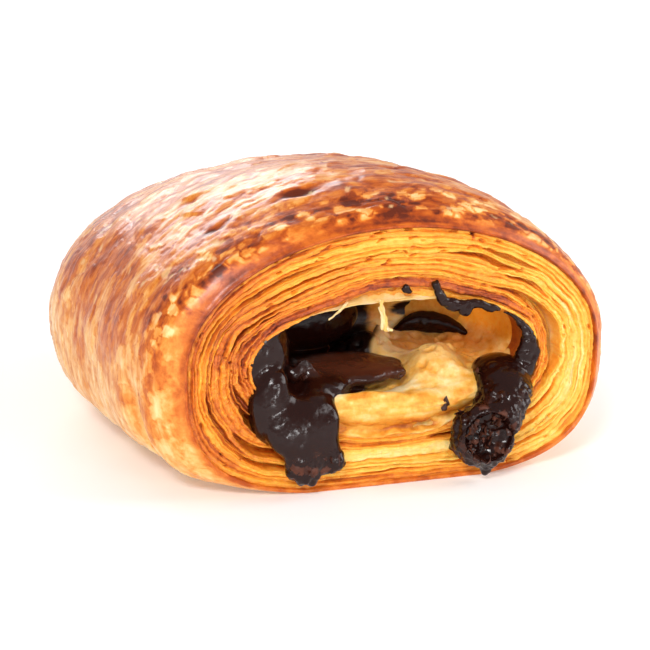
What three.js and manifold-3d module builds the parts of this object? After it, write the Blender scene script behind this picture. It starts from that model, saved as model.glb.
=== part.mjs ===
// Pain au chocolat: a laminated dough roll, gaping at one end, with two chocolate batons
// that run through it and have melted out of the open end.
// Millimetres, +Z up. The roll lies along Y with its open end towards -Y, and the origin
// is under its middle, on the flat base.
import * as THREE from 'three';
import * as BufferGeometryUtils from 'three/addons/utils/BufferGeometryUtils.js';
import Module from 'manifold-3d';

const wasm = await Module();
wasm.setup();

// Roll: the open end's plane, the length, and the outline at distances t behind that plane
const FACE_Y = -47;
const LENGTH = 95;
const SHOULDER_T = 82;
const SHOULDER_DRAW_IN = 10;
const FAR_DOME = 1.6;
const LEFT_REACH = [[0, 38.7], [1.2, 41.4], [4, 43.6], [10, 45.3], [24, 46.9], [40, 48.5], [58, 48.8],
  [74, 45], [85, 40]];
const RIGHT_REACH = [[0, 38.8], [1.2, 39.8], [4, 41], [10, 42.3], [24, 42.7], [40, 42.7], [58, 42.1],
  [74, 40.4], [85, 37.6]];
const TOP_HEIGHT = [[0, 47.3], [1.2, 48.6], [4, 50.1], [10, 52.1], [24, 52.8], [40, 51.8], [58, 48.5],
  [74, 44.6], [85, 41]];
const BASE_LIFT = [[0, -0.5], [54, -0.5], [64, 0.2], [76, 2], [85, 5]];
const WAIST_HEIGHT = [[0, 24], [40, 21.1], [85, 19.9]];
const UPPER_SQUARENESS = 2;
const LOWER_SQUARENESS = 3.2;

// Open end: pressed layers between the crust and the lip of the cavity
const LAYERS = 8;
const GROOVE_DEPTH = 1.1;
const LAYER_WAVE = 0.45;
const TONGUE_PUFF = 1.6;
const TONGUE_ANGLE = 272;
const TONGUE_REACH = 34;
// Gaps between layers: after which layer, at what angle, how long, how deep and how wide
const LAYER_GAPS = [
  { layer: 5, at: 8, reach: 44, depth: 8, open: 0.1 },
  { layer: 5, at: 222, reach: 16, depth: 4.5, open: 0.07 },
  { layer: 3, at: 228, reach: 18, depth: 3, open: 0.04 },
  { layer: 1, at: 236, reach: 12, depth: 2.5, open: 0.03 },
  { layer: 2, at: 52, reach: 14, depth: 2, open: 0.04 },
  { layer: 1, at: 78, reach: 10, depth: 1.6, open: 0.03 },
];

// Cavity: its lip in the open end, its outline at distances t behind it, and the humps on its floor
const CAVITY_DEPTH = 34;
const LIP_HALF_WIDTH = 26.5;
const LIP_MIDDLE = 23;
const LIP_TOP = 33.4;
const LIP_BOTTOM = 15.5;
const CAVITY_HALF_WIDTH = [[0, LIP_HALF_WIDTH], [6, 27.2], [14, 26.4], [22, 24.4], [28, 20], [32, 11],
  [CAVITY_DEPTH, 2]];
const CAVITY_TOP = [[0, LIP_TOP], [6, 35], [14, 34.4], [22, 32], [28, 29], [CAVITY_DEPTH, 24]];
const CAVITY_FLOOR = [[0, LIP_BOTTOM], [6, 15.8], [14, 16.2], [22, 17], [28, 18], [CAVITY_DEPTH, 20]];
const CAVITY_SQUARENESS_UP = 2.3;
const CAVITY_SQUARENESS_DOWN = 2.6;
const LEAST_HEADROOM = 4;
const MOUND = { x: 11, t: 10, height: 6, width: 6, length: 8 };
const CURTAIN = { x: 3, t: 23, height: 5, width: 4.5, length: 6 };

// Chocolate: batons through the roll, each from its place in the cavity to the far end
const BATON_HALF_WIDTH = 5.2;
const BATON_HALF_HEIGHT = 3.6;
const BATON_Z = 20;
const LEFT_BATON = batonPath([[-17, 24, 20]], -15.5);
const RIGHT_BATON = batonPath([[20, 1, 12.4, 3.6, 2.2], [18.6, 13, 12.2, 4.2, 2.4], [16, 29, 14, 5, 3.2]], 14.5);
const CLEARANCE = 0.35;

// Melted chocolate: stations of [x, t, z, half width, half height], as it ran before it set
const COAT = { fromAngle: 124, toAngle: 262, fromT: 0.6, toT: 27, thickness: 2 };
const SHELF = [[-21, 12, 16.4, 9, 2.6], [-12, 12, 18, 9, 2.8], [-4, 11, 19.2, 8, 1.8], [3, 8, 19.2, 4, 1.3]];
const DRIP = [[-18.2, 9, 17.2, 6, 2.6], [-18, 3, 18, 6.8, 2.5], [-18, -1.8, 14, 6.8, 2.4],
  [-17, -2.8, 8.8, 5.8, 2.4], [-18.3, -2.8, 4.8, 3.5, 2.2]];
const DRIP_LOBE = { x: -12.9, t: -2.8, z: 6.6, halfX: 2.7, halfY: 2.3, halfZ: 2.7 };
const APRON = { x: -22.8, t: 0.8, z: 16.5, halfX: 4.4, halfY: 3.4, halfZ: 7 };
const LEFT_FILL = { x: -22.4, t: 12, z: 25, halfX: 5.4, halfY: 12, halfZ: 8 };
const BACK_FILL = { x: -9.5, t: 27.5, z: 24.5, halfX: 12, halfY: 5.4, halfZ: 6 };
const RIGHT_MASS = [[21.4, 8.5, 17.6, 3.4, 2], [21, 5.5, 18, 4.4, 3], [20.6, 2, 17.6, 5, 3.8], [20, -1.5, 15.6, 5, 3.8], [17, -4.5, 11.5, 5, 3.6]];
const RIGHT_END = { x: 14.9, t: -4.4, z: 9, halfX: 6.1, halfY: 4.6, halfZ: 6 };
const RIGHT_HOLLOW = { x: 14.9, t: -9.4, z: 10, halfX: 3.9, halfY: 4.6, halfZ: 3.7 };
const RIGHT_TAIL = [[15, -4.5, 5, 2.4, 2.4], [15.4, -4.2, 3.4, 1.5, 1.5], [15.5, -4, 2.3, 1, 1]];
const RIGHT_SMEAR = [[24, 0.6, 17.5, 2, 2], [25.2, 0.4, 21, 1.7, 1.5], [25.6, 0.3, 24, 1.4, 1.3],
  [24.2, 0.3, 27.3, 1, 1], [21.6, 0.3, 29.4, 0.8, 0.8]];
const TOP_SMEAR = [[6.9, -1, 36.6, 1, 0.9], [8, -1.1, 34.4, 1, 0.9], [9.4, -1, 32.6, 1.1, 1],
  [11.6, -0.9, 31.5, 1.3, 1.1], [14, -0.9, 32.2, 1, 1], [16.6, -0.9, 31.5, 1.1, 1],
  [18.8, -0.9, 30.9, 0.8, 0.8]];
const BACK_STREAK = [[11.2, 30.6, 19.6, 1, 1.3], [15.4, 29, 21.4, 1.4, 2], [19.6, 26.4, 21.2, 1.4, 1.8],
  [22.8, 23, 20, 0.9, 1]];

// Fineness: columns round the roll, the smallest steps kept, and the two ways a rod's width can lie
const COLUMNS = 60;
const SMALLEST_DETAIL = 0.05;
const SMALLEST_DRIP = 0.13;
const LEVEL = new THREE.Vector3(0, 0, 1);
const FACING = new THREE.Vector3(0, 1, 0);

// Stations of one baton: its front ones, then straight to the far end, full size where none is given
function batonPath(front, x) {
  const straight = [45, 70, LENGTH - 2].map((t) => [x, t, BATON_Z]);
  return [...front, ...straight].map(([px, t, z, halfWidth = BATON_HALF_WIDTH, halfHeight = BATON_HALF_HEIGHT]) => (
    [px, t, z, halfWidth, halfHeight]));
}

// Smooth curve through a profile's [t, value] pairs
function along(profile, t) {
  const places = profile.map((pair) => pair[0]);
  const values = profile.map((pair) => pair[1]);
  const held = THREE.MathUtils.clamp(t, places[0], places[places.length - 1]);
  return new THREE.CubicInterpolant(places, values, 1).evaluate(held)[0];
}

// One where the angle is at the middle of a window, falling smoothly to nought at its ends
function angleWindow(angle, middle, reach) {
  const off = Math.abs(THREE.MathUtils.euclideanModulo(angle - middle + 180, 360) - 180);
  return off < reach ? Math.cos((off / reach) * Math.PI / 2) ** 2 : 0;
}

// Rounded-rectangle outline: a superellipse with its own heights above and below its waist
function outline(theta, halfWidth, up, down, squarenessUp, squarenessDown) {
  const c = Math.cos(theta);
  const s = Math.sin(theta);
  const n = s > 0 ? squarenessUp : squarenessDown;
  const r = (Math.abs(c) ** n + Math.abs(s) ** n) ** (-1 / n);
  return { across: r * c * halfWidth, rise: r * s * (s > 0 ? up : down) };
}

// Low swellings and creases of the crust, fading out towards the base
function crustRelief(theta, t) {
  const fade = THREE.MathUtils.smoothstep(Math.sin(theta), -0.75, -0.2);
  const swell = 0.55 * Math.sin(t * 0.17 + 2.1 * Math.cos(theta) + 0.6) * Math.sin(2 * theta + t * 0.04);
  const crease = -0.5 * Math.max(0, Math.sin(t * 0.41 + 1.7 * Math.sin(1.5 * theta) + 2)) ** 6;
  const blister = 0.35 * Math.sin(t * 0.9 + 5 * theta) * Math.sin(7 * theta - t * 0.5);
  return fade * (swell + crease + blister) * THREE.MathUtils.smoothstep(t, 0, 6);
}

// Outside of the roll at distance t, drawn in round the shoulder of the far end
function crustPoint(theta, t) {
  const past = THREE.MathUtils.clamp((t - SHOULDER_T) / (LENGTH - SHOULDER_T), 0, 1);
  const drawIn = SHOULDER_DRAW_IN * (1 - Math.sqrt(1 - past * past));
  const left = along(LEFT_REACH, t) - drawIn;
  const right = along(RIGHT_REACH, t) - drawIn;
  const relief = crustRelief(theta, t);
  const top = along(TOP_HEIGHT, t) - drawIn;
  const base = along(BASE_LIFT, t) + drawIn;
  const waist = Math.min(along(WAIST_HEIGHT, t) + 0.4 * base, 0.5 * (top + base));
  const at = outline(theta, (left + right) / 2 + relief, top - waist + relief, waist - base,
    UPPER_SQUARENESS, LOWER_SQUARENESS);
  return new THREE.Vector3((right - left) / 2 + at.across, FACE_Y + t, Math.max(waist + at.rise, 0));
}

// Far end: a shallow dome with the turns of the roll as a spiral ridge
function farEndPoint(theta, fraction) {
  const edge = crustPoint(theta, LENGTH);
  const middleX = (crustPoint(0, LENGTH).x + crustPoint(Math.PI, LENGTH).x) / 2;
  const middleZ = (crustPoint(Math.PI / 2, LENGTH).z + crustPoint(-Math.PI / 2, LENGTH).z) / 2;
  const turn = fraction * 4 - theta / (2 * Math.PI);
  const ridge = 0.6 * Math.sin(2 * Math.PI * turn) * (1 - fraction ** 6) * Math.min(1, fraction * 3);
  return new THREE.Vector3(
    THREE.MathUtils.lerp(middleX, edge.x, fraction),
    FACE_Y + LENGTH + FAR_DOME * (1 - fraction ** 2) + ridge,
    THREE.MathUtils.lerp(middleZ, edge.z, fraction),
  );
}

// Wall of the cavity at distance t; the floor carries the crumb mound and the curtain behind it
function cavityPoint(theta, t, inset = 0) {
  const top = along(CAVITY_TOP, t) - inset;
  const floor = along(CAVITY_FLOOR, t) + inset;
  const waist = THREE.MathUtils.lerp(LIP_MIDDLE, (top + floor) / 2, t / CAVITY_DEPTH);
  const at = outline(theta, along(CAVITY_HALF_WIDTH, t) - inset, top - waist, waist - floor,
    CAVITY_SQUARENESS_UP, CAVITY_SQUARENESS_DOWN);
  const onFloor = THREE.MathUtils.smoothstep(-Math.sin(theta), 0.05, 0.6);
  const hump = (bump) => bump.height
    * Math.exp(-(((at.across - bump.x) / bump.width) ** 2) - ((t - bump.t) / bump.length) ** 2);
  const lift = onFloor * Math.min(hump(MOUND) + hump(CURTAIN), top - floor - LEAST_HEADROOM);
  return new THREE.Vector3(at.across, FACE_Y + t, waist + at.rise + lift);
}

// Open end: between the rim and the lip; depth is how far a row lies behind the end's plane
function facePoint(theta, share, depth) {
  const rim = crustPoint(theta, 0);
  const lip = cavityPoint(theta, 0);
  return new THREE.Vector3(
    THREE.MathUtils.lerp(rim.x, lip.x, share),
    FACE_Y + depth,
    THREE.MathUtils.lerp(rim.z, lip.z, share),
  );
}

// Total of one measure of the gaps after a layer, at an angle
function gapAt(theta, layer, measure) {
  return LAYER_GAPS.filter((gap) => gap.layer === layer).reduce(
    (sum, gap) => sum + gap[measure] * angleWindow(THREE.MathUtils.radToDeg(theta), gap.at, gap.reach),
    0,
  );
}

// The three rows of one layer: the groove outside it, its outer edge and its inner edge
function layerRows(layer) {
  const inTongue = THREE.MathUtils.smoothstep(layer, 4, 6);
  const puff = (theta) => TONGUE_PUFF * inTongue
    * angleWindow(THREE.MathUtils.radToDeg(theta), TONGUE_ANGLE, TONGUE_REACH);
  const wave = (theta) => LAYER_WAVE * Math.sin(3 * theta + layer * 2.3) * Math.sin(5 * theta - layer * 1.1);
  const front = (theta) => wave(theta) - puff(theta) - 0.3;
  const groove = (theta) => front(theta) + GROOVE_DEPTH + gapAt(theta, layer - 1, 'depth');
  const outerShare = (theta) => (layer + 0.3) / LAYERS + gapAt(theta, layer - 1, 'open') / 2;
  const innerShare = (theta) => (layer + 0.84) / LAYERS - gapAt(theta, layer, 'open') / 2;
  return [
    (theta) => facePoint(theta, (layer + 0.06) / LAYERS, groove(theta)),
    (theta) => facePoint(theta, outerShare(theta), front(theta)),
    (theta) => facePoint(theta, innerShare(theta), front(theta) + 0.15),
  ];
}

// Closed skin over rows of points: each row is a ring, and the first and last points are its poles
function skin(firstPole, rows, lastPole, columns) {
  const positions = [firstPole.x, firstPole.y, firstPole.z];
  for (const row of rows) {
    for (let j = 0; j < columns; j += 1) {
      const point = row((2 * Math.PI * j) / columns);
      positions.push(point.x, point.y, point.z);
    }
  }
  positions.push(lastPole.x, lastPole.y, lastPole.z);
  const last = rows.length * columns + 1;
  const index = [];
  for (let j = 0; j < columns; j += 1) {
    const next = (j + 1) % columns;
    index.push(0, 1 + j, 1 + next);
    for (let i = 0; i + 1 < rows.length; i += 1) {
      const a = 1 + i * columns;
      const b = a + columns;
      index.push(a + j, b + j, b + next);
      index.push(a + j, b + next, a + next);
    }
    const ring = last - columns;
    index.push(ring + j, last, ring + next);
  }
  const geometry = new THREE.BufferGeometry();
  geometry.setAttribute('position', new THREE.Float32BufferAttribute(positions, 3));
  geometry.setIndex(signedVolume(positions, index) < 0 ? index.reverse() : index);
  return geometry;
}

// Volume inside a closed triangle list, negative where its faces point inwards
function signedVolume(positions, index) {
  const corner = (i) => new THREE.Vector3().fromArray(positions, 3 * i);
  let volume = 0;
  for (let i = 0; i < index.length; i += 3) {
    volume += corner(index[i]).dot(corner(index[i + 1]).cross(corner(index[i + 2]))) / 6;
  }
  return volume;
}

function toSolid(geometry) {
  const bare = geometry.clone();
  bare.deleteAttribute('normal');
  bare.deleteAttribute('uv');
  const merged = BufferGeometryUtils.mergeVertices(bare, 1e-4);
  return new wasm.Manifold(new wasm.Mesh({
    numProp: 3,
    vertProperties: new Float32Array(merged.attributes.position.array),
    triVerts: new Uint32Array(merged.index.array),
  }));
}

// Back to a geometry: steps under the smallest detail are merged away and the largest body is kept
function toGeometry(solid, smallest = SMALLEST_DETAIL) {
  const bodies = solid.simplify(smallest).decompose();
  bodies.sort((a, b) => b.volume() - a.volume());
  const mesh = bodies[0].getMesh();
  const geometry = new THREE.BufferGeometry();
  geometry.setAttribute('position', new THREE.Float32BufferAttribute(mesh.vertProperties, 3));
  geometry.setIndex(Array.from(mesh.triVerts));
  return geometry;
}

// The same closed geometry with every point moved out along its normal
function grown(geometry, distance) {
  const result = geometry.clone();
  result.computeVertexNormals();
  const place = result.attributes.position;
  const normal = result.attributes.normal;
  for (let i = 0; i < place.count; i += 1) {
    place.setXYZ(i,
      place.getX(i) + distance * normal.getX(i),
      place.getY(i) + distance * normal.getY(i),
      place.getZ(i) + distance * normal.getZ(i));
  }
  return result;
}

// Soft rod along a path of [x, t, z, half width, half height] stations, with rounded ends
function softRod(stations, sides = 10, steps = 3, reference = LEVEL) {
  const curve = new THREE.CatmullRomCurve3(stations.map(([x, t, z]) => new THREE.Vector3(x, FACE_Y + t, z)));
  const shares = stations.map((station, i) => i / (stations.length - 1));
  const halfAt = (column, share) => along(stations.map((station, i) => [shares[i], station[column]]), share);
  const count = (stations.length - 1) * steps;
  const ring = (share, shrink) => {
    const middle = curve.getPoint(share);
    const tangent = curve.getTangent(share);
    const side = new THREE.Vector3().crossVectors(tangent, reference).normalize();
    const up = new THREE.Vector3().crossVectors(side, tangent);
    const width = halfAt(3, share) * shrink;
    const height = halfAt(4, share) * shrink;
    const push = (share < 0.5 ? -1 : 1) * Math.sqrt(1 - shrink * shrink) * Math.min(width, height) / shrink;
    return (theta) => middle.clone()
      .addScaledVector(tangent, shrink < 1 ? push : 0)
      .addScaledVector(side, Math.cos(theta) * width)
      .addScaledVector(up, Math.sin(theta) * height);
  };
  const rows = [ring(0, 0.55), ring(0, 0.9)];
  for (let i = 0; i <= count; i += 1) {
    rows.push(ring(i / count, 1));
  }
  rows.push(ring(1, 0.9), ring(1, 0.55));
  const cap = (share, sign) => {
    const reach = Math.min(halfAt(3, share), halfAt(4, share));
    return curve.getPoint(share).addScaledVector(curve.getTangent(share), sign * reach);
  };
  return skin(cap(0, -1), rows, cap(1, 1), sides);
}

// Baton, or with a larger half size the channel that it lies in
function baton(stations, extra) {
  return softRod(stations.map(([x, t, z, w, h]) => [x, t, z, w + extra, h + extra]), 14, 2);
}

// Lump: a stretched ball
function lump({ x, t, z, halfX, halfY, halfZ }, detail) {
  const ball = new THREE.SphereGeometry(1, detail, Math.round(detail * 0.7));
  ball.scale(halfX, halfY, halfZ);
  ball.translate(x, FACE_Y + t, z);
  return ball;
}

// Coat of melted chocolate on the cavity's wall between two angles: out along the inside, back in the wall
function wallCoat({ fromAngle, toAngle, fromT, toT, thickness }) {
  const rings = 6;
  const around = 18;
  const angleOf = (share) => THREE.MathUtils.degToRad(THREE.MathUtils.lerp(fromAngle, toAngle, share));
  const rows = [];
  for (let i = 0; i <= rings; i += 1) {
    const t = THREE.MathUtils.lerp(fromT, toT, i / rings);
    rows.push((theta) => {
      const turn = theta / (2 * Math.PI);
      const inside = turn < 0.5;
      const share = inside ? turn * 2 : 2 - turn * 2;
      const taper = Math.sin(Math.PI * THREE.MathUtils.clamp(share, 0.02, 0.98)) ** 0.35;
      return cavityPoint(angleOf(share), t, inside ? thickness * taper : -1);
    });
  }
  const pole = (t) => cavityPoint(angleOf(0.5), t, 0.3);
  return skin(pole(fromT - 0.3), rows, pole(toT + 0.3), around);
}

// Join closed geometries and cut them clear of the pastry
function chocolateFrom(geometries, keepOut, hollows = []) {
  let solid = toSolid(geometries[0]);
  for (const geometry of geometries.slice(1)) {
    solid = solid.add(toSolid(geometry));
  }
  for (const geometry of hollows) {
    solid = solid.subtract(toSolid(geometry));
  }
  return toGeometry(solid.subtract(keepOut), SMALLEST_DRIP);
}

// Pastry: crust, layered open end and cavity are one skin; the batons' channels are cut through it
function pastryRows() {
  const rows = [0.13, 0.25, 0.38, 0.5, 0.63, 0.75, 0.88].map((share) => (theta) => farEndPoint(theta, share));
  for (const past of [0.998, 0.95, 0.82, 0.6, 0.32]) {
    rows.push((theta) => crustPoint(theta, THREE.MathUtils.lerp(SHOULDER_T, LENGTH, past)));
  }
  for (const t of [82, 73, 64, 54, 44, 34, 24, 16, 10, 6, 3.4, 1.5, 0.4]) {
    rows.push((theta) => crustPoint(theta, t));
  }
  for (let layer = 0; layer < LAYERS; layer += 1) {
    rows.push(...layerRows(layer));
  }
  for (const t of [0.6, 2.5, 5.5, 9, 12.5, 16, 19.5, 23, 26.5, 30, 32.6]) {
    rows.push((theta) => cavityPoint(theta, t));
  }
  return rows;
}

function pastrySkin() {
  const farPole = farEndPoint(0, 0);
  const backPole = cavityPoint(0, CAVITY_DEPTH).setX(0);
  return skin(farPole, pastryRows(), backPole, COLUMNS);
}

// Channel round a baton, carried straight on through the far end
function channel(stations, extra) {
  const [x, , z, halfWidth, halfHeight] = stations[stations.length - 1];
  const mouth = [-8, 0, 8].map((step) => [x, LENGTH + step, z, halfWidth, halfHeight]);
  return toSolid(baton(stations, extra)).add(toSolid(baton(mouth, extra)));
}

function cutChannels(solid, extra) {
  return solid.subtract(channel(LEFT_BATON, extra)).subtract(channel(RIGHT_BATON, extra));
}

const pastryShape = pastrySkin();
const pastryGeometry = toGeometry(cutChannels(toSolid(pastryShape), CLEARANCE));
// Space that the chocolate keeps clear of: thin grooves fold a grown skin, so smaller steps back it up
const keepOut = cutChannels(
  [1, 0.6, 0.25].map((share) => toSolid(grown(pastryShape, share * CLEARANCE)))
    .reduce((sum, solid) => sum.add(solid)),
  0.02,
);

// Left chocolate: coat and fill on the tunnel wall, shelf over the crumb, drip over the lip, and its baton
const leftGeometry = chocolateFrom([
  baton(LEFT_BATON, 0),
  wallCoat(COAT),
  softRod(SHELF),
  softRod(DRIP, 14, 3, FACING),
  lump(DRIP_LOBE, 8),
  lump(APRON, 9),
  lump(LEFT_FILL, 7),
  lump(BACK_FILL, 7),
], keepOut);

// Right chocolate: mass over the lip, hollow crumbled end, tail, smear up the lip, and its baton
const rightGeometry = chocolateFrom([
  baton(RIGHT_BATON, 0),
  softRod(RIGHT_MASS),
  lump(RIGHT_END, 14),
  softRod(RIGHT_TAIL, 8, 2, FACING),
  softRod(RIGHT_SMEAR, 8, 3, FACING),
], keepOut, [lump(RIGHT_HOLLOW, 12)]);

// Smear hanging from the top of the lip, and the streak across the cavity's back wall
const smearGeometry = chocolateFrom([softRod(TOP_SMEAR, 8, 3, FACING)], keepOut);
const streakGeometry = chocolateFrom([softRod(BACK_STREAK, 8, 3)], keepOut);

function finish(name, geometry, colour, roughness) {
  const shaded = geometry.toNonIndexed();
  shaded.computeVertexNormals();
  const material = new THREE.MeshStandardMaterial({ color: colour, roughness, metalness: 0 });
  const mesh = new THREE.Mesh(shaded, material);
  mesh.name = name;
  return mesh;
}

const painAuChocolat = new THREE.Group();
painAuChocolat.add(finish('pastry', pastryGeometry, 0xd98a3d, 0.45));
painAuChocolat.add(finish('chocolate_left', leftGeometry, 0x2a120c, 0.25));
painAuChocolat.add(finish('chocolate_right', rightGeometry, 0x2a120c, 0.3));
painAuChocolat.add(finish('chocolate_smear', smearGeometry, 0x30150e, 0.35));
painAuChocolat.add(finish('chocolate_streak', streakGeometry, 0x24100a, 0.3));

export default painAuChocolat;
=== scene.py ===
import bpy
import numpy as np
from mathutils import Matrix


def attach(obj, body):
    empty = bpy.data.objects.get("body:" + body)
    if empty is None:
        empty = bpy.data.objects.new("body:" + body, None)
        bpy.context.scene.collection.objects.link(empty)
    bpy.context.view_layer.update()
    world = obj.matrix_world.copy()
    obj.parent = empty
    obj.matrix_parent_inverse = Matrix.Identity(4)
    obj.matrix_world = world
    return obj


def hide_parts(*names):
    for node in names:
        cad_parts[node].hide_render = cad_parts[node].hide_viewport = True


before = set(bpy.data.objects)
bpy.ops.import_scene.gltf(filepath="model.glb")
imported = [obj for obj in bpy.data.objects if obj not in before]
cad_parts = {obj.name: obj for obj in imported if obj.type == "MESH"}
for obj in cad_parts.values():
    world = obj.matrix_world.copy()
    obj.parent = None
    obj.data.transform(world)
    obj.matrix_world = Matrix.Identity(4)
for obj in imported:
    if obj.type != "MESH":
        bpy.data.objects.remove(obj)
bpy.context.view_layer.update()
scene = bpy.context.scene
mm = 0.001
print("frame loaded")

# The roll's outline, in mm, at distances t behind the plane of the open end
roll = {
    "faceY": -47.0,
    "length": 95.0,
    "shoulderT": 82.0,
    "shoulderDrawIn": 10.0,
    "farDome": 1.6,
    "left": [(0, 38.7), (1.2, 41.4), (4, 43.6), (10, 45.3), (24, 46.9), (40, 48.5), (58, 48.8), (74, 45),
             (85, 40)],
    "right": [(0, 38.8), (1.2, 39.8), (4, 41), (10, 42.3), (24, 42.7), (40, 42.7), (58, 42.1), (74, 40.4),
              (85, 37.6)],
    "top": [(0, 47.3), (1.2, 48.6), (4, 50.1), (10, 52.1), (24, 52.8), (40, 51.8), (58, 48.5), (74, 44.6),
            (85, 41)],
    "base": [(0, -0.5), (54, -0.5), (64, 0.2), (76, 2), (85, 5)],
    "waist": [(0, 24), (40, 21.1), (85, 19.9)],
    "squareUp": 2.0,
    "squareDown": 3.2,
}

# The cavity's outline at distances t behind its lip, and the humps of crumb on its floor
cavity = {
    "depth": 34.0,
    "middle": 23.0,
    "halfWidth": [(0, 26.5), (6, 27.2), (14, 26.4), (22, 24.4), (28, 20), (32, 11), (34, 2)],
    "top": [(0, 33.4), (6, 35), (14, 34.4), (22, 32), (28, 29), (34, 24)],
    "floor": [(0, 15.5), (6, 15.8), (14, 16.2), (22, 17), (28, 18), (34, 20)],
    "squareUp": 2.3,
    "squareDown": 2.6,
    "mound": (11, 10, 6, 6, 8),
    "curtain": (3, 23, 5, 4.5, 6),
    "headroom": 4.0,
}


# Smooth curve through (place, value) pairs: a cubic between each two, its slopes taken from the neighbours
def along(pairs, t):
    x, y = np.array(pairs, float).T
    slope = np.gradient(y, x)
    t = np.clip(t, x[0], x[-1])
    i = np.clip(np.searchsorted(x, t, side="right") - 1, 0, len(x) - 2)
    h = x[i + 1] - x[i]
    u = (t - x[i]) / h
    return ((2 * u ** 3 - 3 * u ** 2 + 1) * y[i] + (u ** 3 - 2 * u ** 2 + u) * h * slope[i]
            + (3 * u ** 2 - 2 * u ** 3) * y[i + 1] + (u ** 3 - u ** 2) * h * slope[i + 1])


# Nought below low, one above high, and a soft S between them
def softStep(value, low, high):
    u = np.clip((value - low) / (high - low), 0, 1)
    return u * u * (3 - 2 * u)


# One at an angle in degrees, falling as a squared cosine to nought at reach degrees from it
def window(theta, middle, reach):
    off = np.abs((np.degrees(theta) - middle + 180) % 360 - 180)
    return np.where(off < reach, np.cos(np.minimum(off / reach, 1) * np.pi / 2) ** 2, 0)


# Random number from 0 to 1 for each whole-numbered cell: its coordinates times large odd numbers, mixed
def scramble(cells, seed):
    x, y, z = (cells[..., k].astype(np.uint64) for k in range(3))
    h = x * np.uint64(0x9E3779B97F4A7C15) ^ y * np.uint64(0xC2B2AE3D27D4EB4F)
    h = (h ^ z * np.uint64(0x165667B19E3779F9)) + np.uint64(seed * 7919 + 1)
    h = (h ^ (h >> np.uint64(31))) * np.uint64(0xBF58476D1CE4E5B9)
    h = (h ^ (h >> np.uint64(29))) * np.uint64(0x94D049BB133111EB)
    return ((h ^ (h >> np.uint64(32))) >> np.uint64(11)).astype(float) / 2.0 ** 53


# Value noise from -1 to 1: random values on a lattice of the given size in mm, blended by soft steps
def latticeNoise(points, size, seed=0):
    p = points / np.array(size, float)
    cell = np.floor(p).astype(np.int64)
    f = p - cell
    f = f * f * (3 - 2 * f)
    total = 0
    for corner in range(8):
        offset = np.array([corner & 1, corner >> 1 & 1, corner >> 2 & 1])
        total = total + scramble(cell + offset, seed) * np.prod(np.where(offset, f, 1 - f), axis=-1)
    return 2 * total - 1


# Sum of value noises, each half the size and the strength of the one before
def roughNoise(points, size, octaves=3, seed=0):
    size = np.array(size, float)
    total = 0
    for k in range(octaves):
        total = total + latticeNoise(points, size / 2 ** k, seed + k) / 2 ** k
    return total / (2 - 2.0 ** (1 - octaves))


# Cells round scattered points: distance to the nearest point, to the second, and the nearest one's number
def cellNoise(points, size, seed=0):
    p = points / np.array(size, float)
    cell = np.floor(p).astype(np.int64)
    nearest = np.full(p.shape[:-1], 9.0)
    second = nearest.copy()
    number = np.zeros(p.shape[:-1])
    for n in range(27):
        offset = np.array([n % 3 - 1, n // 3 % 3 - 1, n // 9 - 1])
        home = cell + offset
        spot = home + np.stack([scramble(home, seed + k) for k in range(3)], -1)
        gap = np.linalg.norm(p - spot, axis=-1)
        closer = gap < nearest
        second = np.where(closer, nearest, np.minimum(second, gap))
        number = np.where(closer, scramble(home, seed + 5), number)
        nearest = np.where(closer, gap, nearest)
    return nearest, second, number


# Rounded-rectangle outline: a superellipse with its own heights above and below its waist
def outline(theta, halfWidth, up, down, squareUp, squareDown):
    c, s = np.cos(theta), np.sin(theta)
    n = np.where(s > 0, squareUp, squareDown)
    r = (np.abs(c) ** n + np.abs(s) ** n) ** (-1 / n)
    return r * c * halfWidth, r * s * np.where(s > 0, up, down)


# Outside of the roll: left, right, top and base profiles joined by the outline, drawn in round the far
# shoulder
def crustPoint(theta, t, relief=0):
    past = np.clip((t - roll["shoulderT"]) / (roll["length"] - roll["shoulderT"]), 0, 1)
    drawIn = roll["shoulderDrawIn"] * (1 - np.sqrt(1 - past * past))
    left, right = along(roll["left"], t) - drawIn, along(roll["right"], t) - drawIn
    top, base = along(roll["top"], t) - drawIn, along(roll["base"], t) + drawIn
    waist = np.minimum(along(roll["waist"], t) + 0.4 * base, 0.5 * (top + base))
    x, z = outline(theta, (left + right) / 2 + relief, top - waist + relief, waist - base,
                   roll["squareUp"], roll["squareDown"])
    x, z, t = np.broadcast_arrays((right - left) / 2 + x, np.maximum(waist + z, 0), t)
    return np.stack([x, roll["faceY"] + t, z], -1)


# Wall of the cavity: its outline at distance t, with gaussian humps of crumb lifted out of the floor
def cavityPoint(theta, t, inset=0.0):
    top = along(cavity["top"], t) - inset
    floor = along(cavity["floor"], t) + inset
    waist = cavity["middle"] + ((top + floor) / 2 - cavity["middle"]) * t / cavity["depth"]
    x, z = outline(theta, along(cavity["halfWidth"], t) - inset, top - waist, waist - floor,
                   cavity["squareUp"], cavity["squareDown"])
    lift = 0
    for hx, ht, height, width, length in (cavity["mound"], cavity["curtain"]):
        lift = lift + height * np.exp(-((x - hx) / width) ** 2 - ((t - ht) / length) ** 2)
    lift = softStep(-np.sin(theta), 0.05, 0.6) * np.minimum(lift, top - floor - cavity["headroom"])
    x, y, z = np.broadcast_arrays(x, roll["faceY"] + t, waist + z + lift)
    return np.stack([x, y, z], -1)


# Point of the open end: share 0 is on the rim and share 1 on the lip, depth is back from the end's plane
def facePoint(theta, share, depth):
    rim = crustPoint(theta, np.zeros_like(theta))
    lip = cavityPoint(theta, np.zeros_like(theta))
    point = rim + (lip - rim) * share[..., None]
    point[..., 1] = roll["faceY"] + depth
    return point


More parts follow.
